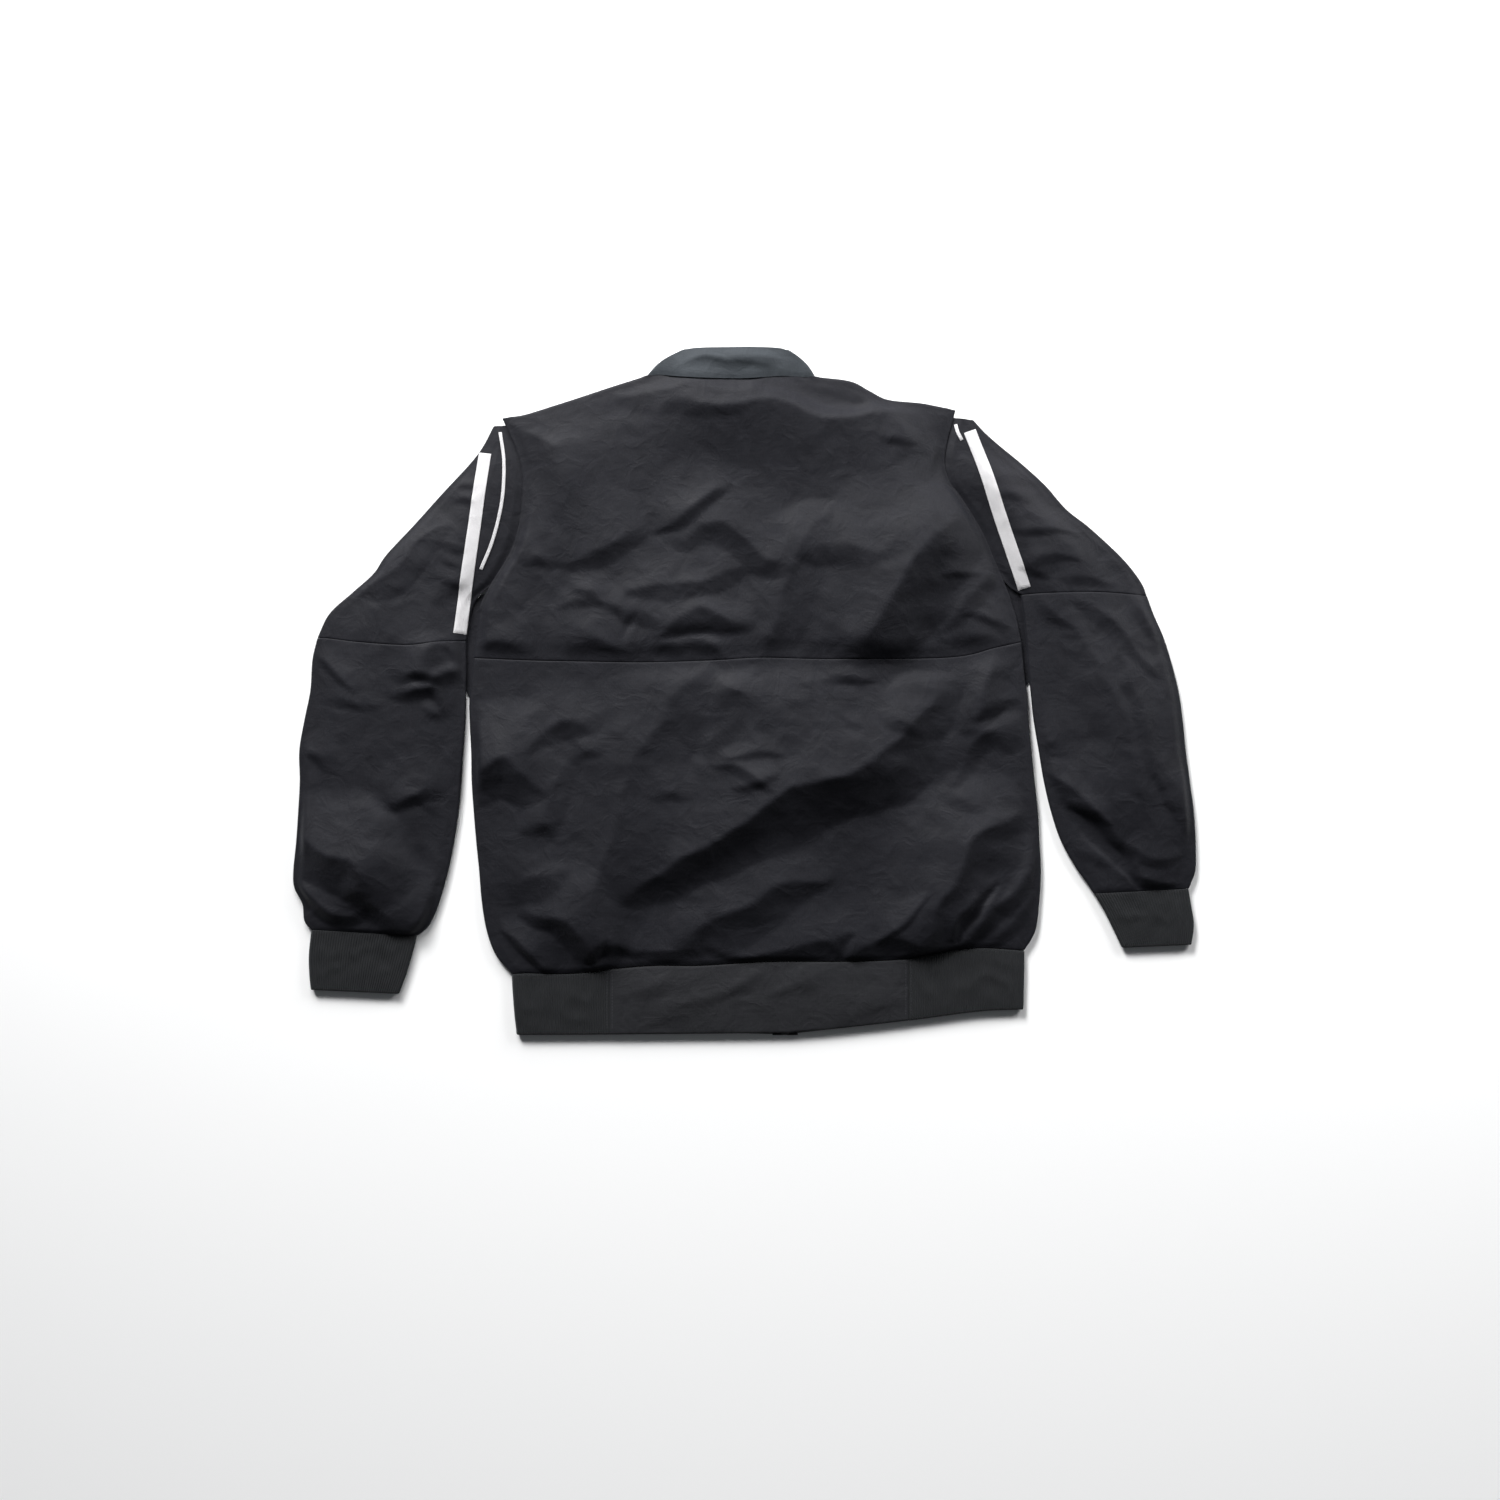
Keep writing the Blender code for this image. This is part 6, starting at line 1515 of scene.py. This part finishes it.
outline = superellipse(SLIDER_WIDE, SLIDER_LONG, 40, 0.45)
taper = ease(outline[:, 1] / SLIDER_LONG + 0.7)
outline[:, 0] *= (SLIDER_NARROW + (SLIDER_WIDE - SLIDER_NARROW) * taper) / SLIDER_WIDE
half = SLIDER_THICK / 2
parts = [
    slab(outline, [(half - PLATE, 1.0), (half - 0.35, 1.0), (half - 0.1, 0.96), (half, 0.88)]),
    slab(outline, [(-half, 0.88), (0.1 - half, 0.96), (0.35 - half, 1.0), (PLATE - half, 1.0)]),
]
post = np.array([(0, -0.6), (0.9, 1.6), (0.7, 3.6), (-0.7, 3.6), (-0.9, 1.6)])
parts.append(slab(post, [(PLATE - half - 0.1, 1), (half - PLATE + 0.1, 1)]))
for sign in (-1, 1):
    ear = superellipse(EAR_THICK, EAR_LONG, 16, 0.45) + (sign * (EAR_APART + EAR_THICK) / 2, 0)
    parts.append(slab(ear, [(-half - PIN_DROP - 0.8, 1.0), (0.3 - half, 1.0)]))
pin, pin_faces = slab(circle(16) * PIN_RADIUS, [(-2.5, 0.8), (-2.3, 1), (2.3, 1), (2.5, 0.8)])
parts.append((pin[:, [2, 0, 1]] - (0, 0, half + PIN_DROP), pin_faces))
slider_points, slider_faces = merged(parts)
slider = put_mesh("zip_slider_body", slider_points + SLIDER_PLACE, slider_faces)
dress(slider, enamel, ["zip_slider"])

# Pull tab: a knuckle round the pin, and a long rounded plate with a slot
turn = np.arange(24)[:, None] * math.pi / 12
knuckle = np.dstack([
    KNUCKLE_SIDE + 0 * turn, KNUCKLE_RADIUS * np.cos(turn), KNUCKLE_RADIUS * np.sin(turn),
])
knuckle = torus(knuckle[:, ::-1])
tab_end = TAB_START + TAB_LONG
outer = superellipse(TAB_WIDE, tab_end - TAB_NEAR, 40, 0.4) - (0, (tab_end + TAB_NEAR) / 2)
outer[:, 0] *= 1 - 0.53 * ease((outer[:, 1] + 5.2) / 2.4)
inner = superellipse(TAB_HOLE_WIDE, TAB_HOLE_LONG, 40, 0.6) + (0, TAB_HOLE_AT)
rings = [
    (outer * (0.93, 1), -0.6), (outer, -0.4), (outer, 0.4), (outer * (0.93, 1), 0.6),
    (inner * (1.12, 1), 0.6), (inner, 0.4), (inner, -0.4), (inner * (1.12, 1), -0.6),
]
plate = [np.column_stack([ring, np.full(40, high)]) for ring, high in rings]
plate = torus(np.stack(plate, axis=1))
tab_points, tab_faces = merged([knuckle, plate])
tab = put_mesh("zip_pull", tab_points + PIN_PLACE, tab_faces)
dress(tab, enamel, ["zip_pull_tab"], body="pull_tab")

# ==== The studio ====
# A wide sheet of white paper. A sun past the collar and two area lights shade the folds. The sky
# fills the shadows only faintly, but is bright where the lens sees it.

FLOOR_HALF, FLOOR_AT = 6.0, -0.0004
SKY_LIGHT, SKY_SEEN = 0.08, 0.92  # its strength, and what is added where the lens sees it
SUN_ANGLE, AREA_SIZE = 16, 0.9
CAMERA_AT = (0.0055, -0.058, 2.083)

floor_mesh = bpy.data.meshes.new("floor")
corners = [(-1, -1), (1, -1), (1, 1), (-1, 1)]
corners = [(FLOOR_HALF * x, FLOOR_HALF * y, FLOOR_AT) for x, y in corners]
floor_mesh.from_pydata(corners, [], [(0, 1, 2, 3)])
floor = bpy.data.objects.new("floor", floor_mesh)
bpy.context.scene.collection.objects.link(floor)
paper = bpy.data.materials.new("paper")
paper.use_nodes = True
matte = {"Base Color": (0.9, 0.9, 0.9, 1), "Roughness": 0.9}
fill(paper.node_tree, paper.node_tree.nodes["Principled BSDF"], matte)
floor_mesh.materials.append(paper)

world = bpy.data.worlds.new("sky")
world.use_nodes = True
sky = world.node_tree
seen_by_lens = node(sky, "ShaderNodeLightPath").outputs["Is Camera Ray"]
glow = calc(sky, "MULTIPLY_ADD", seen_by_lens, SKY_SEEN, SKY_LIGHT)
fill(sky, sky.nodes["Background"], {"Strength": glow, "Color": (0.9, 0.95, 1.0, 1)})
bpy.context.scene.world = world

for name, kind, energy, towards in (
    ("daylight", "SUN", 3.5, (-0.4, 0.84, 0.44)), ("window", "AREA", 30, (-0.45, 1.15, 0.7)),
    ("reflection", "AREA", 31, (1.3, 1.05, 0.6)),
):
    light = bpy.data.lights.new(name, kind)
    light.energy = energy
    if kind == "SUN":
        light.angle = math.radians(SUN_ANGLE)
    else:
        light.size = AREA_SIZE
    lamp = bpy.data.objects.new(name, light)
    lamp.location = towards
    lamp.rotation_euler = lamp.location.to_track_quat("Z", "Y").to_euler()
    bpy.context.scene.collection.objects.link(lamp)

lens = bpy.data.cameras.new("camera")
lens.lens = 50
lens.sensor_width = 36
camera = bpy.data.objects.new("camera", lens)
camera.location = CAMERA_AT
bpy.context.scene.collection.objects.link(camera)
bpy.context.scene.camera = camera
bpy.context.scene.view_settings.view_transform = "Standard"
